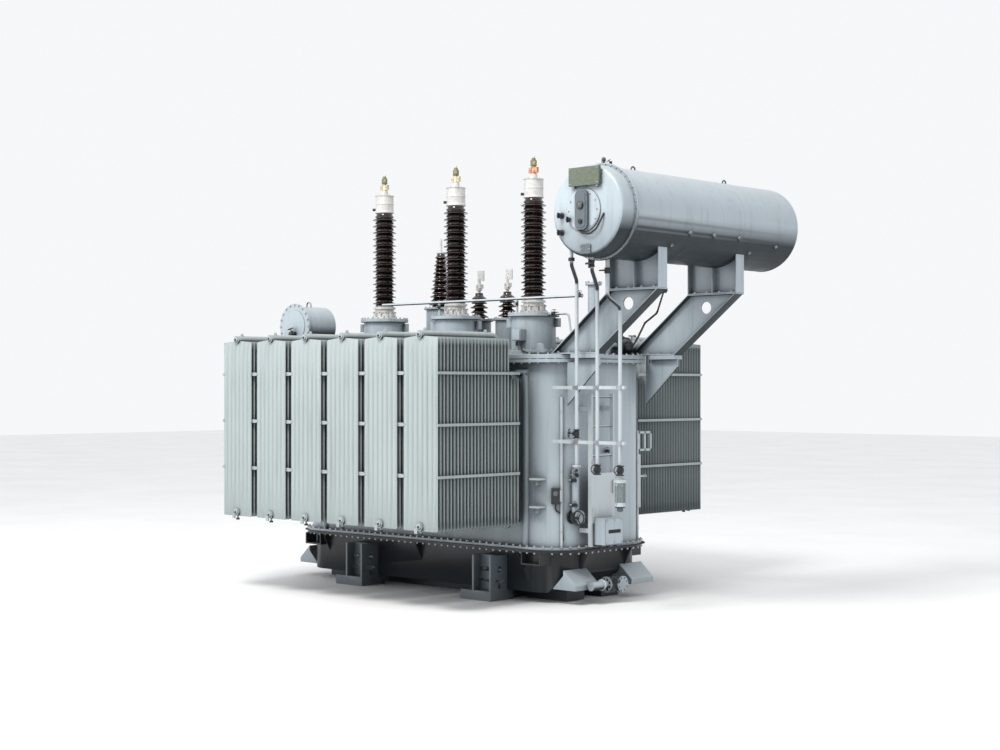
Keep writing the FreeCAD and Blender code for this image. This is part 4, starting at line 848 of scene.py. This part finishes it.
def line_clamp(number):
    """The clamp on a high-voltage stud; the third one's boss is bare copper."""
    clamp = Shape()
    boss = cap_of(number) + UP * CAP_HEIGHT
    lower = COPPER if number == 3 else TINNED
    clamp.turned([(0.034, -0.004), (0.036, 0.03), (0.026, 0.05), (0.026, 0.085)], boss, UP, lower, 24)
    for side in (-1, 1):
        ear = boss + RIGHT * (side * 0.042)
        clamp.block((-0.024, -0.016, 0.012), (0.024, 0.016, 0.075), lower, ear)
        clamp.bolt(boss + Vector((side * 0.05, -0.016, 0.045)), FRONT, 0.009)
    clamp.block((-0.03, -0.022, 0.088), (0.03, 0.022, 0.158), BRONZE, boss)
    clamp.block((-0.012, -0.034, 0.1), (0.058, -0.012, 0.148), BRONZE, boss)
    clamp.bolt(boss + Vector((0.04, -0.034, 0.124)), FRONT, 0.008)
    clamp.turned([(0.024, 0.15), (0.024, 0.178), (0.017, 0.186)], boss, UP, BRONZE, 18)
    clamp.piece("line_clamp_%d" % number, "terminal_metal", 0.002)


def terminal_clamps():
    """The clamps of the low-voltage terminals."""
    low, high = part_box("lv_porcelains")
    joints = Shape()
    for x in three_along(low.x, high.x, 0.118):
        stem = Vector((x, (low.y + high.y) / 2, high.z + 0.06))
        joints.turned([(0.036, -0.03), (0.04, 0.0), (0.028, 0.012)], stem, UP, ALUMINIUM, 24)
        joints.block((-0.03, -0.032, 0.0), (0.045, 0.032, 0.05), ALUMINIUM, stem)
        joints.bolt(stem + Vector((0.0, -0.032, 0.026)), FRONT, 0.01)
    joints.piece("lv_terminal_clamps", "terminal_metal", 0.002)


def bushing_fittings():
    for number in PHASES:
        bushing_collar(number)
        line_clamp(number)
    terminal_clamps()


def turret_bolts():
    """Bolts of the flanges of the turrets and of the vent riser, and the turrets' lifting lugs."""
    shape = Shape()
    for number in PHASES:
        foot, head = foot_of("hv_turret_%d" % number), head_of("hv_turret_%d" % number)
        shape.bolts(24, 0.283, head, UP, 0.013)
        shape.bolts(20, 0.278, foot + UP * 0.06, UP, 0.012)
        for k in range(2):
            way = on_circle(k, 2, start=0.4)
            root = head - UP * 0.11 + way * 0.255
            lug = Matrix.Translation(root) @ FRONT.rotation_difference(way).to_matrix().to_4x4()
            shape.block(*bounds_of(lug, (-0.01, -0.07, -0.05), (0.01, 0.0, 0.05)))
        collar = Vector((*head.xy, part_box("hv_sleeve_%d" % number)[0].z + 0.025))
        shape.bolts(8, 0.145, collar, UP, 0.01)
    for node, upper, lower, count in (("neutral_turret", 0.205, 0.21, 12),
                                      ("vent_riser", 0.086, 0.092, 8)):
        shape.bolts(count, upper, head_of(node), UP, 0.011)
        shape.bolts(count, lower, foot_of(node) + UP * 0.025, UP, 0.011)
    low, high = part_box("lv_turrets")
    for x in three_along(low.x, high.x, 0.18):
        shape.bolts(10, 0.158, (x, (low.y + high.y) / 2, high.z), UP, 0.011)
        shape.turned([(0.17, 0), (0.17, 0.014), (0.15, 0.016)], (x, (low.y + high.y) / 2, low.z), UP,
                     TANK_PAINT, 36)
    shape.piece("turret_bolts", "tank_paint")


def turret_kit():
    """The terminal box with its lead, and the small pipes and valves beside the turrets."""
    kit = Shape()
    axis = centre_of("hv_turret_3")
    face = Vector((axis.x + 0.04, axis.y - 0.26, 3.0))
    kit.block((-0.065, -0.08, -0.062), (0.062, 0.03, 0.066), TANK_PAINT, face)
    kit.block((-0.057, -0.087, -0.054), (0.054, -0.078, 0.056), TANK_PAINT, face)
    for x in (-0.04, 0.03):
        kit.rod(face + Vector((x, -0.03, -0.07)), face + Vector((x, -0.03, -0.12)), 0.014, VALVE_BLACK)
    lead = [face + Vector(spot) for spot in ((0.03, -0.03, -0.11), (0.03, -0.03, -0.17),
                                             (0.2, -0.1, -0.21))]
    kit.tube(lead + [(COVER_HIGH.x - 0.25, axis.y - 0.45, COVER_TOP + 0.012)], 0.009, 0.05,
             CABLE_SHEATH, 8)
    start = Vector((axis.x + 0.29, axis.y - 0.06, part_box("hv_turret_3")[1].z - 0.02))
    kit.tube([start - RIGHT * 0.04, start + RIGHT * 0.3, start + RIGHT * 0.36 - UP * 0.36], 0.012, 0.05)
    valve(kit, start + RIGHT * 0.08, RIGHT, UP, 0.014)
    low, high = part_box("gas_pipe")
    pipe = Vector((high.x, (low.y + high.y) / 2, high.z - 0.016))
    valve(kit, pipe - RIGHT * 0.03, RIGHT, (0.2, -0.6, 0.8), 0.014)
    for number in PHASES[1:]:
        x = centre_of("hv_turret_%d" % number).x
        valve(kit, (x, pipe.y, pipe.z - 0.06), UP, FRONT, 0.012)
        hoop(kit, (x + 0.12, pipe.y, pipe.z), RIGHT, 0.019, 0.005, ZINC, 16, 6)
    kit.piece("turret_kit", "tank_paint", 0.0015)


def bounds_of(matrix, low, high):
    """Low and high corners of the bounds of a box that a matrix has turned."""
    spots = [matrix @ Vector((x, y, z)) for x in (low[0], high[0]) for y in (low[1], high[1])
             for z in (low[2], high[2])]
    return ([min(s[k] for s in spots) for k in range(3)], [max(s[k] for s in spots) for k in range(3)])


def joint_bolts():
    """Bolts above and below the cover's rim and the tank's foot joint, and their gaskets."""
    corner, proud, gasket = WALL_CORNER + RIM_OVERHANG, 0.002, 0.006
    for name, rim, upper, lower, seam, spacing, under_size in (
            ("cover_bolts", COVER_HIGH, COVER_TOP, COVER_LOW.z - RIM_FLANGE, COVER_LOW.z, 0.118, 0.012),
            ("foot_joint_bolts", FLANGE_HIGH, JOINT_LEVEL + JOINT_PLATE, JOINT_LEVEL - JOINT_PLATE,
             JOINT_LEVEL, 0.104, 0.013)):
        shape = Shape()
        path = rounded_outline(rim.x - BOLT_INSET, rim.y - BOLT_INSET, corner - BOLT_INSET)
        shape.bolt_row([(x, y, upper) for x, y in path], spacing, 0.014, closed=True)
        turned_over = Matrix.Translation((0, 0, 2 * lower)) @ Matrix.Scale(-1, 4, UP)
        shape.bolt_row([(x, y, lower) for x, y in path], spacing, under_size, turned_over, True)
        edge = rounded_outline(rim.x + proud, rim.y + proud, corner + proud)
        shape.plate(edge, gasket, Matrix.Translation((0, 0, seam - gasket / 2)), RUBBER)
        shape.piece(name, "tank_paint")


def radiator_valves():
    """Flange bolts and shut-off levers of the twenty-four radiator pipes."""
    shape = Shape()
    edge = 0.105
    for rows in ("upper_pipes_front", "upper_pipes_rear", "lower_pipes_front", "lower_pipes_rear"):
        low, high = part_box(rows)
        level = (low.z + high.z) / 2
        side = -1 if "front" in rows else 1
        face = side * (WALL_SIDE + 0.5 * (abs(low.y if side < 0 else high.y) - WALL_SIDE) + 0.07)
        for k in range(6):
            x = low.x + edge + (high.x - low.x - 2 * edge) * k / 5
            shape.bolts(8, 0.083, (x, face, level), (0, side, 0), 0.01)
            hub = Vector((x, face - side * 0.07, level + 0.075))
            shape.rod(hub, hub + UP * 0.04, 0.016, VALVE_BLACK, 10)
            shape.block((-0.012, -0.008, 0.03), (0.1, 0.008, 0.042), VALVE_BLACK, hub)
    shape.piece("radiator_valve_kit", "tank_paint")


def on_disc(x, z, out=0.0):
    return Vector((x, DISC_FACE - out, z))


def oil_level_gauge():
    """Oil level gauge with its dial and its lead, on a round flange of the drum's cover."""
    kit = Shape()
    hub = on_disc(DRUM_AXIS.x - 0.04, DRUM_AXIS.z + 0.005)
    kit.turned([(0.225, -0.004), (0.225, 0.012), (0.205, 0.018), (0.2, 0.018)], hub, FRONT, TANK_PAINT, 48)
    kit.bolts(12, 0.19, hub + FRONT * 0.018, FRONT, 0.009)
    half_wide, half_tall, thick = 0.082, 0.205, 0.034
    outline = rounded_outline(half_wide, half_tall, 0.06, 5)
    stand = upright(hub + FRONT * 0.016)
    kit.plate(outline, thick, stand, STEEL_GREY)
    rim = rounded_outline(half_wide - 0.022, half_tall - 0.022, 0.045, 5)
    kit.plate(rim, thick + 0.006, stand, STEEL_GREY)
    dial = hub + FRONT * (thick + 0.02) + UP * 0.045
    kit.turned([(0.04, 0), (0.04, 0.016), (0.034, 0.02)], dial, FRONT, VALVE_BLACK, 32)
    kit.disc(0.031, 0.021, dial, FRONT, RELAY_PAINT, 32)
    for k in range(9):
        angle = math.radians(-120 + 30 * k)
        spot = dial + Vector((math.sin(angle) * 0.025, -0.0215, math.cos(angle) * 0.025))
        kit.block((-0.0012, -0.001, -0.003), (0.0012, 0.001, 0.003), DIAL_WHITE, spot)
    kit.block((-0.0015, -0.024, -0.005), (0.0015, -0.022, 0.022), DIAL_WHITE, dial)
    kit.turned([(0.024, 0), (0.024, 0.018), (0.016, 0.022)], hub + FRONT * (thick + 0.02) - UP * 0.12,
               FRONT, VALVE_BLACK, 20)
    kit.tube([hub + Vector(spot) for spot in (
        (-0.05, -0.03, -0.2), (0.0, -0.035, -0.235), (0.11, -0.04, -0.255), (0.2, -0.04, -0.205),
        (0.25, -0.035, -0.125), (0.27, -0.004, -0.049))], 0.01, 0.09, CABLE_SHEATH, 10)
    kit.piece("oil_level_gauge", "relay_paint", 0.003)


def conservator_plates():
    """The blank plates on the drum's cover, with their straps and screws."""
    plates = Shape()
    low = on_disc(DRUM_AXIS.x - 0.205, DRUM_AXIS.z + 0.2525, 0.05)
    high = on_disc(DRUM_AXIS.x + 0.2, DRUM_AXIS.z + 0.4425, 0.03)
    plates.block((low.x, low.y, low.z), (high.x, high.y + 0.012, high.z), PLATE_ENAMEL)
    for x in (low.x + 0.03, high.x - 0.06):
        plates.block((x, high.y, low.z - 0.02), (x + 0.03, DISC_FACE + 0.01, low.z + 0.12), TANK_PAINT)
    for x in (low.x + 0.02, high.x - 0.02):
        for z in (low.z + 0.02, high.z - 0.02):
            plates.bolt((x, low.y, z), FRONT, 0.006)
    small = on_disc(DRUM_AXIS.x - 0.01, DRUM_AXIS.z - 0.4)
    plates.block((-0.067, -0.014, -0.045), (0.067, 0.002, 0.045), STEEL_GREY, small)
    for x in (-0.055, 0.055):
        plates.bolt(small + Vector((x, -0.014, 0.0)), FRONT, 0.006)
    plates.piece("conservator_plates", "relay_paint", 0.0015)


def conservator_valves():
    """Cocks on the drum's cover, and the valves of the pipes below it."""
    valves = Shape()
    for x, z in ((2.852, 4.185), (2.975, 4.135), (2.852, 4.008)):
        cock = ((0.032, 0), (0.032, 0.012), (0.018, 0.016), (0.018, 0.038), (0.027, 0.04), (0.027, 0.056))
        valves.turned(cock, on_disc(x, z), FRONT, VALVE_BLACK, 20)
        valves.block((-0.006, -0.072, -0.03), (0.006, -0.056, 0.03), VALVE_BLACK, on_disc(x, z))
    valves.disc(0.034, 0.035, (2.887, -1.4, 3.72), UP, VALVE_BLACK, 20)
    grip = Vector((3.166, -1.4, 3.68))
    valves.turned([(0.03, -0.035), (0.03, -0.025), (0.024, 0.0), (0.03, 0.025), (0.03, 0.035)], grip, UP,
                  VALVE_BLACK, 20)
    for way in (RIGHT, -RIGHT, UP, -UP):
        valves.rod(grip + FRONT * 0.045, grip + FRONT * 0.045 + way * 0.048, 0.011, VALVE_BLACK, 10)
    valves.rod(grip, grip + FRONT * 0.055, 0.014, VALVE_BLACK, 12)
    stem = Vector((3.205, -1.2, 3.616))
    valves.turned([(0.03, -0.03), (0.03, 0.03)], stem, UP, VALVE_BLACK, 20)
    valves.rod(stem, stem + FRONT * 0.075, 0.009, VALVE_BLACK, 10)
    valves.rod(stem + Vector((-0.05, -0.07, 0)), stem + Vector((0.05, -0.07, 0)), 0.008, VALVE_BLACK, 10)
    valves.piece("conservator_valves", "relay_paint", 0.0015)


def conservator_fittings():
    """Bolted joint, weld beads, lifting hooks, filler valve and small bosses of the drum."""
    shape = Shape()
    axis = Vector((DRUM_AXIS.x, DRUM_JOINT, DRUM_AXIS.z))
    shape.bolts(40, 0.49, axis + FRONT * 0.016, FRONT, 0.0085)
    for y in (-0.33, 0.62, 1.64):
        shape.turned([(DRUM_RADIUS - 0.003, -0.007), (DRUM_RADIUS + 0.002, -0.003),
                      (DRUM_RADIUS + 0.002, 0.003), (DRUM_RADIUS - 0.003, 0.007)],
                     (axis.x, y, axis.z), -FRONT, TANK_PAINT, 96)
    top = axis.z + DRUM_RADIUS
    for y in (-0.755, 0.883):
        shape.tube([(axis.x, y - 0.034, top - 0.02), (axis.x, y - 0.028, top + 0.042),
                    (axis.x, y + 0.028, top + 0.042), (axis.x, y + 0.034, top - 0.02)], 0.009, 0.028,
                   STEEL_GREY, 10)
        shape.block((axis.x - 0.035, y - 0.05, top - 0.02), (axis.x + 0.035, y + 0.05, top + 0.004),
                    TANK_PAINT)
    filler = Vector((axis.x, axis.y + 0.05, top - 0.01))
    shape.turned([(0.036, 0), (0.036, 0.016), (0.02, 0.02), (0.02, 0.045)], filler, UP, TANK_PAINT, 24)
    valve(shape, filler + UP * 0.045, UP, (0.6, -0.7, 0.1), 0.013)
    shape.turned([(0.022, 0), (0.024, 0.02), (0.014, 0.035)], filler + UP * 0.07, UP, STEEL_GREY, 16)
    valve(shape, filler + Vector((0.08, 0.02, 0.035)), UP, (-0.2, -0.6, 0.7), 0.011)
    for y, angle in ((-0.34, -23), (0.09, -23), (0.55, -23), (-0.546, -43), (0.868, -43), (1.3, -30)):
        way = Vector((math.cos(math.radians(angle)), 0, math.sin(math.radians(angle))))
        root = Vector((axis.x, y, axis.z)) + way * (DRUM_RADIUS - 0.004)
        shape.turned([(0.028, 0), (0.028, 0.006), (0.018, 0.01), (0.018, 0.022), (0.023, 0.024),
                      (0.023, 0.032)], root, way, PIPE_PAINT, 16)
    shape.piece("conservator_fittings", "tank_paint", 0.001)


def support_bolts():
    """Bolts through the feet of the struts and between struts and saddles."""
    shape = Shape()
    for side in ("front", "rear"):
        middle = centre_of("conservator_strut_" + side).y
        for node, start, end, lift, spacing, size in (
                ("conservator_strut_", 0.09, 0.56, 0.014, 0.1566, 0.016),
                ("conservator_saddle_", 0.08, 0.59, 0.012, 0.155, 0.014)):
            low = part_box(node + side)[0]
            for y in (middle - 0.045, middle + 0.045):
                shape.bolt_row([(low.x + reach, y, low.z + lift) for reach in (start, end)],
                               spacing, size)
    shape.piece("support_bolts", "tank_paint")


def relay_fittings():
    """Sight windows, test cock and flange bolts of the gas relay, and the stop valve behind it."""
    shape = Shape()
    middle = centre_of("gas_relay")
    low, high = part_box("gas_relay")
    for side in (-1, 1):
        way = Vector((side, 0, 0))
        shape.turned([(0.052, 0.07), (0.052, 0.1), (0.044, 0.103)], middle, way, VALVE_BLACK, 28)
        shape.turned([(0.04, 0.085), (0.04, 0.1035)], middle, way, GLASS, 28)
        face = Vector((middle.x, high.y if side > 0 else low.y, middle.z))
        shape.bolts(8, 0.088, face, (0, side, 0), 0.009)
    shape.turned([(0.045, 0.085), (0.045, 0.11), (0.026, 0.12), (0.026, 0.16)], middle, UP, RELAY_PAINT, 24)
    valve(shape, middle + UP * 0.17, UP, (0.3, -1, 0), 0.01)
    stop = Vector((middle.x, high.y + 0.03, middle.z))
    shape.turned([(0.085, 0), (0.085, 0.02), (0.06, 0.024), (0.07, 0.05), (0.07, 0.11), (0.06, 0.136),
                  (0.085, 0.14), (0.085, 0.16)], stop, -FRONT, PIPE_PAINT, 32)
    shape.rod(stop + Vector((0, 0.08, 0)), stop + Vector((0, 0.08, 0.12)), 0.014, PIPE_PAINT, 12)
    shape.block((-0.01, 0.02, 0.115), (0.01, 0.14, 0.128), VALVE_BLACK, stop)
    shape.piece("relay_fittings", "relay_paint", 0.001)


def tank_end_brackets():
    """Shelves, conduits with their clips, a duct and an open frame on the tank's end."""
    wall = Shape()
    for level in (1.385, 1.075):
        spot = corner_spot(82, level)[0]
        wall.block((-0.02, -0.105, -0.011), (0.12, 0.02, 0.011), PIPE_PAINT, spot)
        wall.block((0.04, -0.07, -0.07), (0.052, 0.02, 0.0), TANK_PAINT, spot)
    for degrees, side, low, high, radius in ((41, -1, 0.64, 2.3, 0.016), (66, 1, 1.02, 2.5, 0.022),
                                             (38, 1, 0.64, 1.9, 0.014)):
        spot = corner_spot(degrees, low, side, radius)[0]
        wall.rod(spot, spot + UP * (high - low), radius, PIPE_PAINT, 12)
        for k in range(5):
            clip = spot + UP * ((high - low) * (k + 0.5) / 5)
            hoop(wall, clip, UP, radius + 0.004, 0.004, ZINC, 14, 6)
    duct = corner_spot(52, 1.0, 1)[0]
    wall.block((-0.05, -0.03, 0.0), (0.045, 0.045, 0.62), PIPE_PAINT, duct)
    frame_low = Vector((2.06, WALL_SIDE - 0.12, 1.655))
    for z in (0.0, 0.205):
        wall.block((0, 0, z), (0.03, 0.29, z + 0.028), PIPE_PAINT, frame_low)
    for y in (0.04, 0.15, 0.262):
        wall.block((0, y, 0), (0.03, y + 0.028, 0.233), PIPE_PAINT, frame_low)
    stub = corner_spot(60, 1.35, 1)[0]
    wall.tube([stub + FRONT * 0.05, stub - FRONT * 0.19], 0.02)
    wall.disc(0.03, 0.02, stub - FRONT * 0.185, -FRONT, PIPE_PAINT, 16)
    wall.piece("tank_end_brackets", "tank_paint", 0.003)


def tank_end_valves():
    """Thermometer, filter valve and standpipe, cocks, and valves and clamps of the upright pipes."""
    kit = Shape()
    spot, way = corner_spot(50, 1.2, -1, 0.03)
    across = Vector((way.y, -way.x, 0))
    box = Matrix.Translation(spot) @ Matrix((across, way, UP)).transposed().to_4x4()
    kit.plate([(-0.048, -0.03), (0.048, -0.03), (0.048, 0.045), (-0.048, 0.045)], 0.175,
              box @ Matrix.Translation((0, 0, -0.0875)), VALVE_BLACK)
    kit.disc(0.028, 0.006, spot + way * 0.045 + UP * 0.03, way, STEEL_GREY, 28)
    kit.block((0.05, 0.0, -0.06), (0.075, 0.03, 0.07), PIPE_PAINT, spot)
    kit.tube([spot - UP * 0.08, spot - UP * 0.16, spot + Vector((0.04, 0.06, -0.2)),
              spot + Vector((0.05, 0.07, -0.5))], 0.008, 0.04, CABLE_SHEATH, 8)
    # filter valve on the wall, with the standpipe that rises from it to the first upright pipe
    root = Vector((2.08, -0.56, 0.965))
    kit.rod(root, root + RIGHT * 0.1, 0.045, TANK_PAINT, 24)
    body = ((0.076, 0.08), (0.076, 0.098), (0.05, 0.1), (0.068, 0.114), (0.068, 0.165), (0.05, 0.176),
            (0.076, 0.178), (0.076, 0.196))
    kit.turned(body, root, RIGHT, VALVE_BLACK, 32)
    kit.turned([(0.078, 0.198), (0.078, 0.216)], root, RIGHT, TANK_PAINT, 32)
    kit.bolts(8, 0.062, root + RIGHT * 0.216, RIGHT, 0.01)
    hub = root + Vector((0.26, -0.1, 0.0))
    kit.rod(root + Vector((0.14, -0.05, 0)), hub, 0.014, VALVE_BLACK)
    handwheel(kit, hub, (0.93, -0.35, 0.1), 0.075)
    stand_top = root + Vector((0.14, 0, 0.54))
    kit.turned([(0.04, 0.04), (0.043, 0.08), (0.043, 0.53), (0.03, 0.54)], root + RIGHT * 0.14, UP,
               TANK_PAINT, 28)
    pipe_foot = Vector((PIPE_SPOTS[0], PIPE_PLANE, 1.56))
    kit.disc(0.045, 0.02, pipe_foot - UP * 0.02, UP, PIPE_PAINT, 24)
    kit.tube([pipe_foot, (*pipe_foot.xy, stand_top.z), stand_top, stand_top - UP * 0.06], 0.018, 0.04,
             PIPE_PAINT, 12)
    # small cocks on the wall above the filter valve
    for y, z in ((-0.58, 1.43), (-0.615, 1.375), (-0.6, 1.1), (-0.03, 1.68)):
        spot = Vector((WALL_END - 0.03, y, z))
        kit.rod(spot, spot + RIGHT * 0.06, 0.012, TANK_PAINT)
        valve(kit, spot + RIGHT * 0.075, RIGHT, (0.4, -0.7, 0.5), 0.013)
    # valves at the feet of the upright pipes, with clamps where they pass the bars
    for x in PIPE_SPOTS[1:]:
        valve(kit, (x, PIPE_PLANE, 1.52), UP, (0.5, -0.85, 0.1), 0.027)
    valve(kit, (PIPE_SPOTS[0], PIPE_PLANE, 1.9), UP, (-0.55, -0.8, 0.1), 0.024)
    for x in PIPE_SPOTS:
        for z in (2.4, 1.81):
            kit.block((-0.035, -0.026, -0.021), (0.035, 0.026, 0.021), ZINC, (x, PIPE_PLANE, z))
            for offset in (-0.027, 0.027):
                kit.bolt((x + offset, PIPE_PLANE - 0.026, z), FRONT, 0.006)
    kit.piece("tank_end_valves", "relay_paint", 0.0015)


def cable_box_front():
    """The cable box's lid, bolts and glands, a black strip of painted shadow below the ladder's guard, and
    the hasp and hinges of the ladder's guard.
    """
    low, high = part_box("cable_box")
    face = Shape()
    face.block((high.x - 0.002, low.y + 0.012, low.z + 0.012),
               (high.x + 0.008, high.y - 0.012, high.z - 0.012))
    for y in three_along(low.y, high.y, 0.03):
        for z in (low.z + 0.03, high.z - 0.03):
            face.bolt((high.x + 0.008, y, z), RIGHT, 0.009)
        face.rod((low.x + 0.06, y, low.z + 0.01), (low.x + 0.06, y, low.z - 0.03), 0.02, VALVE_BLACK, 12)
    ladder_low, ladder_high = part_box("ladder")
    guard_x = ladder_high.x
    # painted shadow: a black strip where the shade under the ladder's guard falls on the box
    face.block((high.x + 0.004, low.y + 0.06, 0.79), (high.x + 0.009, low.y + 0.27, 0.83), RUBBER)
    face.block((guard_x, ladder_high.y - 0.05, 1.22), (guard_x + 0.02, ladder_high.y - 0.02, 1.36), ZINC)
    for z in (1.02, 1.55):
        face.rod((guard_x + 0.005, ladder_low.y + 0.012, z - 0.04),
                 (guard_x + 0.005, ladder_low.y + 0.012, z + 0.04), 0.01, ZINC, 10)
    face.piece("cable_box_front", "tank_paint", 0.002)


def signal_conduit():
    """Armoured lead from the foot of the drum's front saddle to the gas relay, and its gland."""
    shape = Shape()
    relay = centre_of("gas_relay")
    start = Vector((3.465, -0.56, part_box("conservator_saddle_front")[0].z + 0.01))
    route = [start, Vector((3.234, -0.4, 3.2)), Vector((2.873, -0.15, 3.11)),
             Vector((2.45, 0.25, 2.96)), Vector((2.2, 0.42, 2.82)), relay + RIGHT * 0.08]
    bend, step = 0.14, 0.035
    shape.tube(route, 0.009, bend, CABLE_SHEATH, 10)
    path = rounded_path(route, bend)
    for before, after in zip(path, path[1:]):
        run = after - before
        count = max(1, int(run.length / step))
        for k in range(count):
            hoop(shape, before + run * ((k + 0.5) / count), run, 0.0095, 0.0025, CABLE_SHEATH, 10, 5)
    shape.turned([(0.03, 0), (0.03, 0.03), (0.018, 0.05)], start - UP * 0.01, -UP, VALVE_BLACK, 6)
    shape.piece("signal_conduit", "relay_paint")


def breather_vessel():
    """Glass drying vessel with its beads, between cast caps on three tie rods.

    The vessel ends below the top of its CAD node by the neck, where the pipe comes down to it."""
    foot = foot_of("breather")
    neck = 0.11
    tall = height_of("breather") - neck
    shape = Shape()
    shape.turned([(0.052, 0.0), (0.06, 0.012), (0.06, 0.05), (0.05, 0.06)], foot, UP,
                 PIPE_PAINT, 32)
    shape.turned([(0.05, 0.0), (0.066, 0.01), (0.066, 0.045), (0.03, 0.06), (0.03, 0.07)],
                 foot + UP * (tall - 0.07), UP, PIPE_PAINT, 32)
    shape.turned([(0.047, 0.062), (0.047, tall * 0.72)], foot, UP, BEADS, 32)
    shape.turned([(0.056, 0.055), (0.056, tall - 0.07)], foot, UP, GLASS, 40)
    for k in range(3):
        spot = foot + on_circle(k, 3, 0.064, 0.02, 0.5)
        shape.rod(spot, spot + UP * (tall - 0.04), 0.005, ZINC, 8)
    shape.turned([(0.02, 0), (0.034, 0.012), (0.034, 0.05)], foot - UP * 0.045, UP, STEEL_GREY, 24)
    shape.piece("breather_vessel", "breather_glass", replaces=("breather",))


def drain_fittings():
    """Black valve body and its handwheel on the drain pipe."""
    shape = Shape()
    x, z = 2.39, centre_of("drain_valve").z
    shape.turned([(0.07, 0), (0.092, 0.012), (0.092, 0.108), (0.07, 0.12)], (x, -0.12, z), FRONT,
                 VALVE_BLACK, 36)
    shape.bolts(8, 0.06, (x, -0.24, z), FRONT, 0.009)
    shape.rod((x, -0.18, z), (x + 0.1, -0.18, z + 0.07), 0.02, VALVE_BLACK)
    handwheel(shape, (x + 0.1, -0.18, z + 0.07), (0.82, 0, 0.57), 0.055)
    shape.turned([(0.055, 0), (0.066, 0.004), (0.066, 0.018), (0.055, 0.022)], (x, -0.3, z), FRONT,
                 PIPE_PAINT, 28)
    shape.piece("drain_valve_kit", "relay_paint", 0.0015)


def manhole_fittings():
    """Flange bolts, lifting eye and small vent cock of the side manhole."""
    low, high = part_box("side_manhole")
    middle = centre_of("side_manhole")
    level = high.z - 0.285
    shape = Shape()
    face = Vector((middle.x, low.y, level))
    shape.bolts(20, 0.268, face, FRONT, 0.013)
    shape.turned([(0.2, 0), (0.2, 0.006), (0.18, 0.008)], face, FRONT, TANK_PAINT, 40)
    spot = face + Vector((0.02, 0, -0.1))
    shape.rod(spot, spot + FRONT * 0.04, 0.016, TANK_PAINT)
    valve(shape, spot + FRONT * 0.05, FRONT, (-0.3, -0.2, 0.9), 0.02)
    top = Vector((middle.x, (low.y + high.y) / 2, high.z - 0.035))
    shape.tube([top + Vector((x, 0, z)) for x, z in ((-0.04, -0.01), (-0.035, 0.06), (0.035, 0.06),
                                                    (0.04, -0.01))], 0.01, 0.03, TANK_PAINT, 8)
    shape.turned([(0.185, 0), (0.185, 0.02), (0.155, 0.022)], (middle.x, top.y, COVER_TOP), UP,
                 TANK_PAINT, 36)
    shape.bolts(12, 0.172, (middle.x, top.y, COVER_TOP + 0.02), UP, 0.01)
    shape.piece("manhole_fittings", "tank_paint", 0.0015)


for make in (dress_cad_nodes, radiators, porcelains, bushing_fittings, turret_bolts, turret_kit,
             joint_bolts, radiator_valves, oil_level_gauge, conservator_plates, conservator_valves,
             conservator_fittings, support_bolts, relay_fittings, tank_end_brackets,
             tank_end_valves, cable_box_front, signal_conduit, breather_vessel, drain_fittings,
             manhole_fittings):
    make()


# ---------------------------------------------------------------- studio

def studio():
    """Pale floor, an even white surround, one large key light and one soft fill."""
    reach = 60.0
    mesh = bpy.data.meshes.new("floor")
    mesh.from_pydata([(-reach, -reach, 0), (reach, -reach, 0), (reach, reach, 0), (-reach, reach, 0)],
                     [], [(0, 1, 2, 3)])
    material, tree, shader = finish("pale_studio_floor", Roughness=0.9)
    soft = spread(tree, noise(tree, 0.5), 0.3, 0.7)
    feed(tree, shader, {"Base Color": blended(tree, soft, linear("#F2F3F3"), linear("#ECEDED"))})
    mesh.materials.append(material)
    floor = bpy.data.objects.new("floor", mesh)
    bpy.context.scene.collection.objects.link(floor)

    world = bpy.data.worlds.new("studio")
    world.use_nodes = True
    background = world.node_tree.nodes["Background"]
    background.inputs["Color"].default_value = linear("#FCFDFF")
    background.inputs["Strength"].default_value = 0.95
    bpy.context.scene.world = world
    for name, place, target, size, power, colour in (
            ("key", (2.0, -9.0, 13.0), (0.3, 0, 1.8), 4.0, 1500, "#FFFDF8"),
            ("front_fill", (-9.0, -13.0, 5.0), (0, 0, 1.8), 8.0, 380, "#F6FAFF")):
        light = bpy.data.lights.new(name, "AREA")
        light.size = size
        light.energy = power
        light.color = linear(colour)[:3]
        lamp = bpy.data.objects.new(name, light)
        lamp.location = place
        lamp.rotation_euler = (Vector(target) - Vector(place)).to_track_quat("-Z", "Y").to_euler()
        bpy.context.scene.collection.objects.link(lamp)
    bpy.context.scene.view_settings.view_transform = "Standard"


def camera():
    """Eye level a little under mid height, well back to the front right, and level."""
    view = bpy.data.cameras.new("camera")
    view.sensor_width = 36.0
    view.lens = 60.44
    view.shift_y = 0.0113
    view.clip_end = 200.0
    eye = bpy.data.objects.new("camera", view)
    eye.location = (14.342, -14.667, 2.414)
    eye.rotation_euler = (math.pi / 2, 0, math.radians(43.246))
    bpy.context.scene.collection.objects.link(eye)
    bpy.context.scene.camera = eye


studio()
camera()
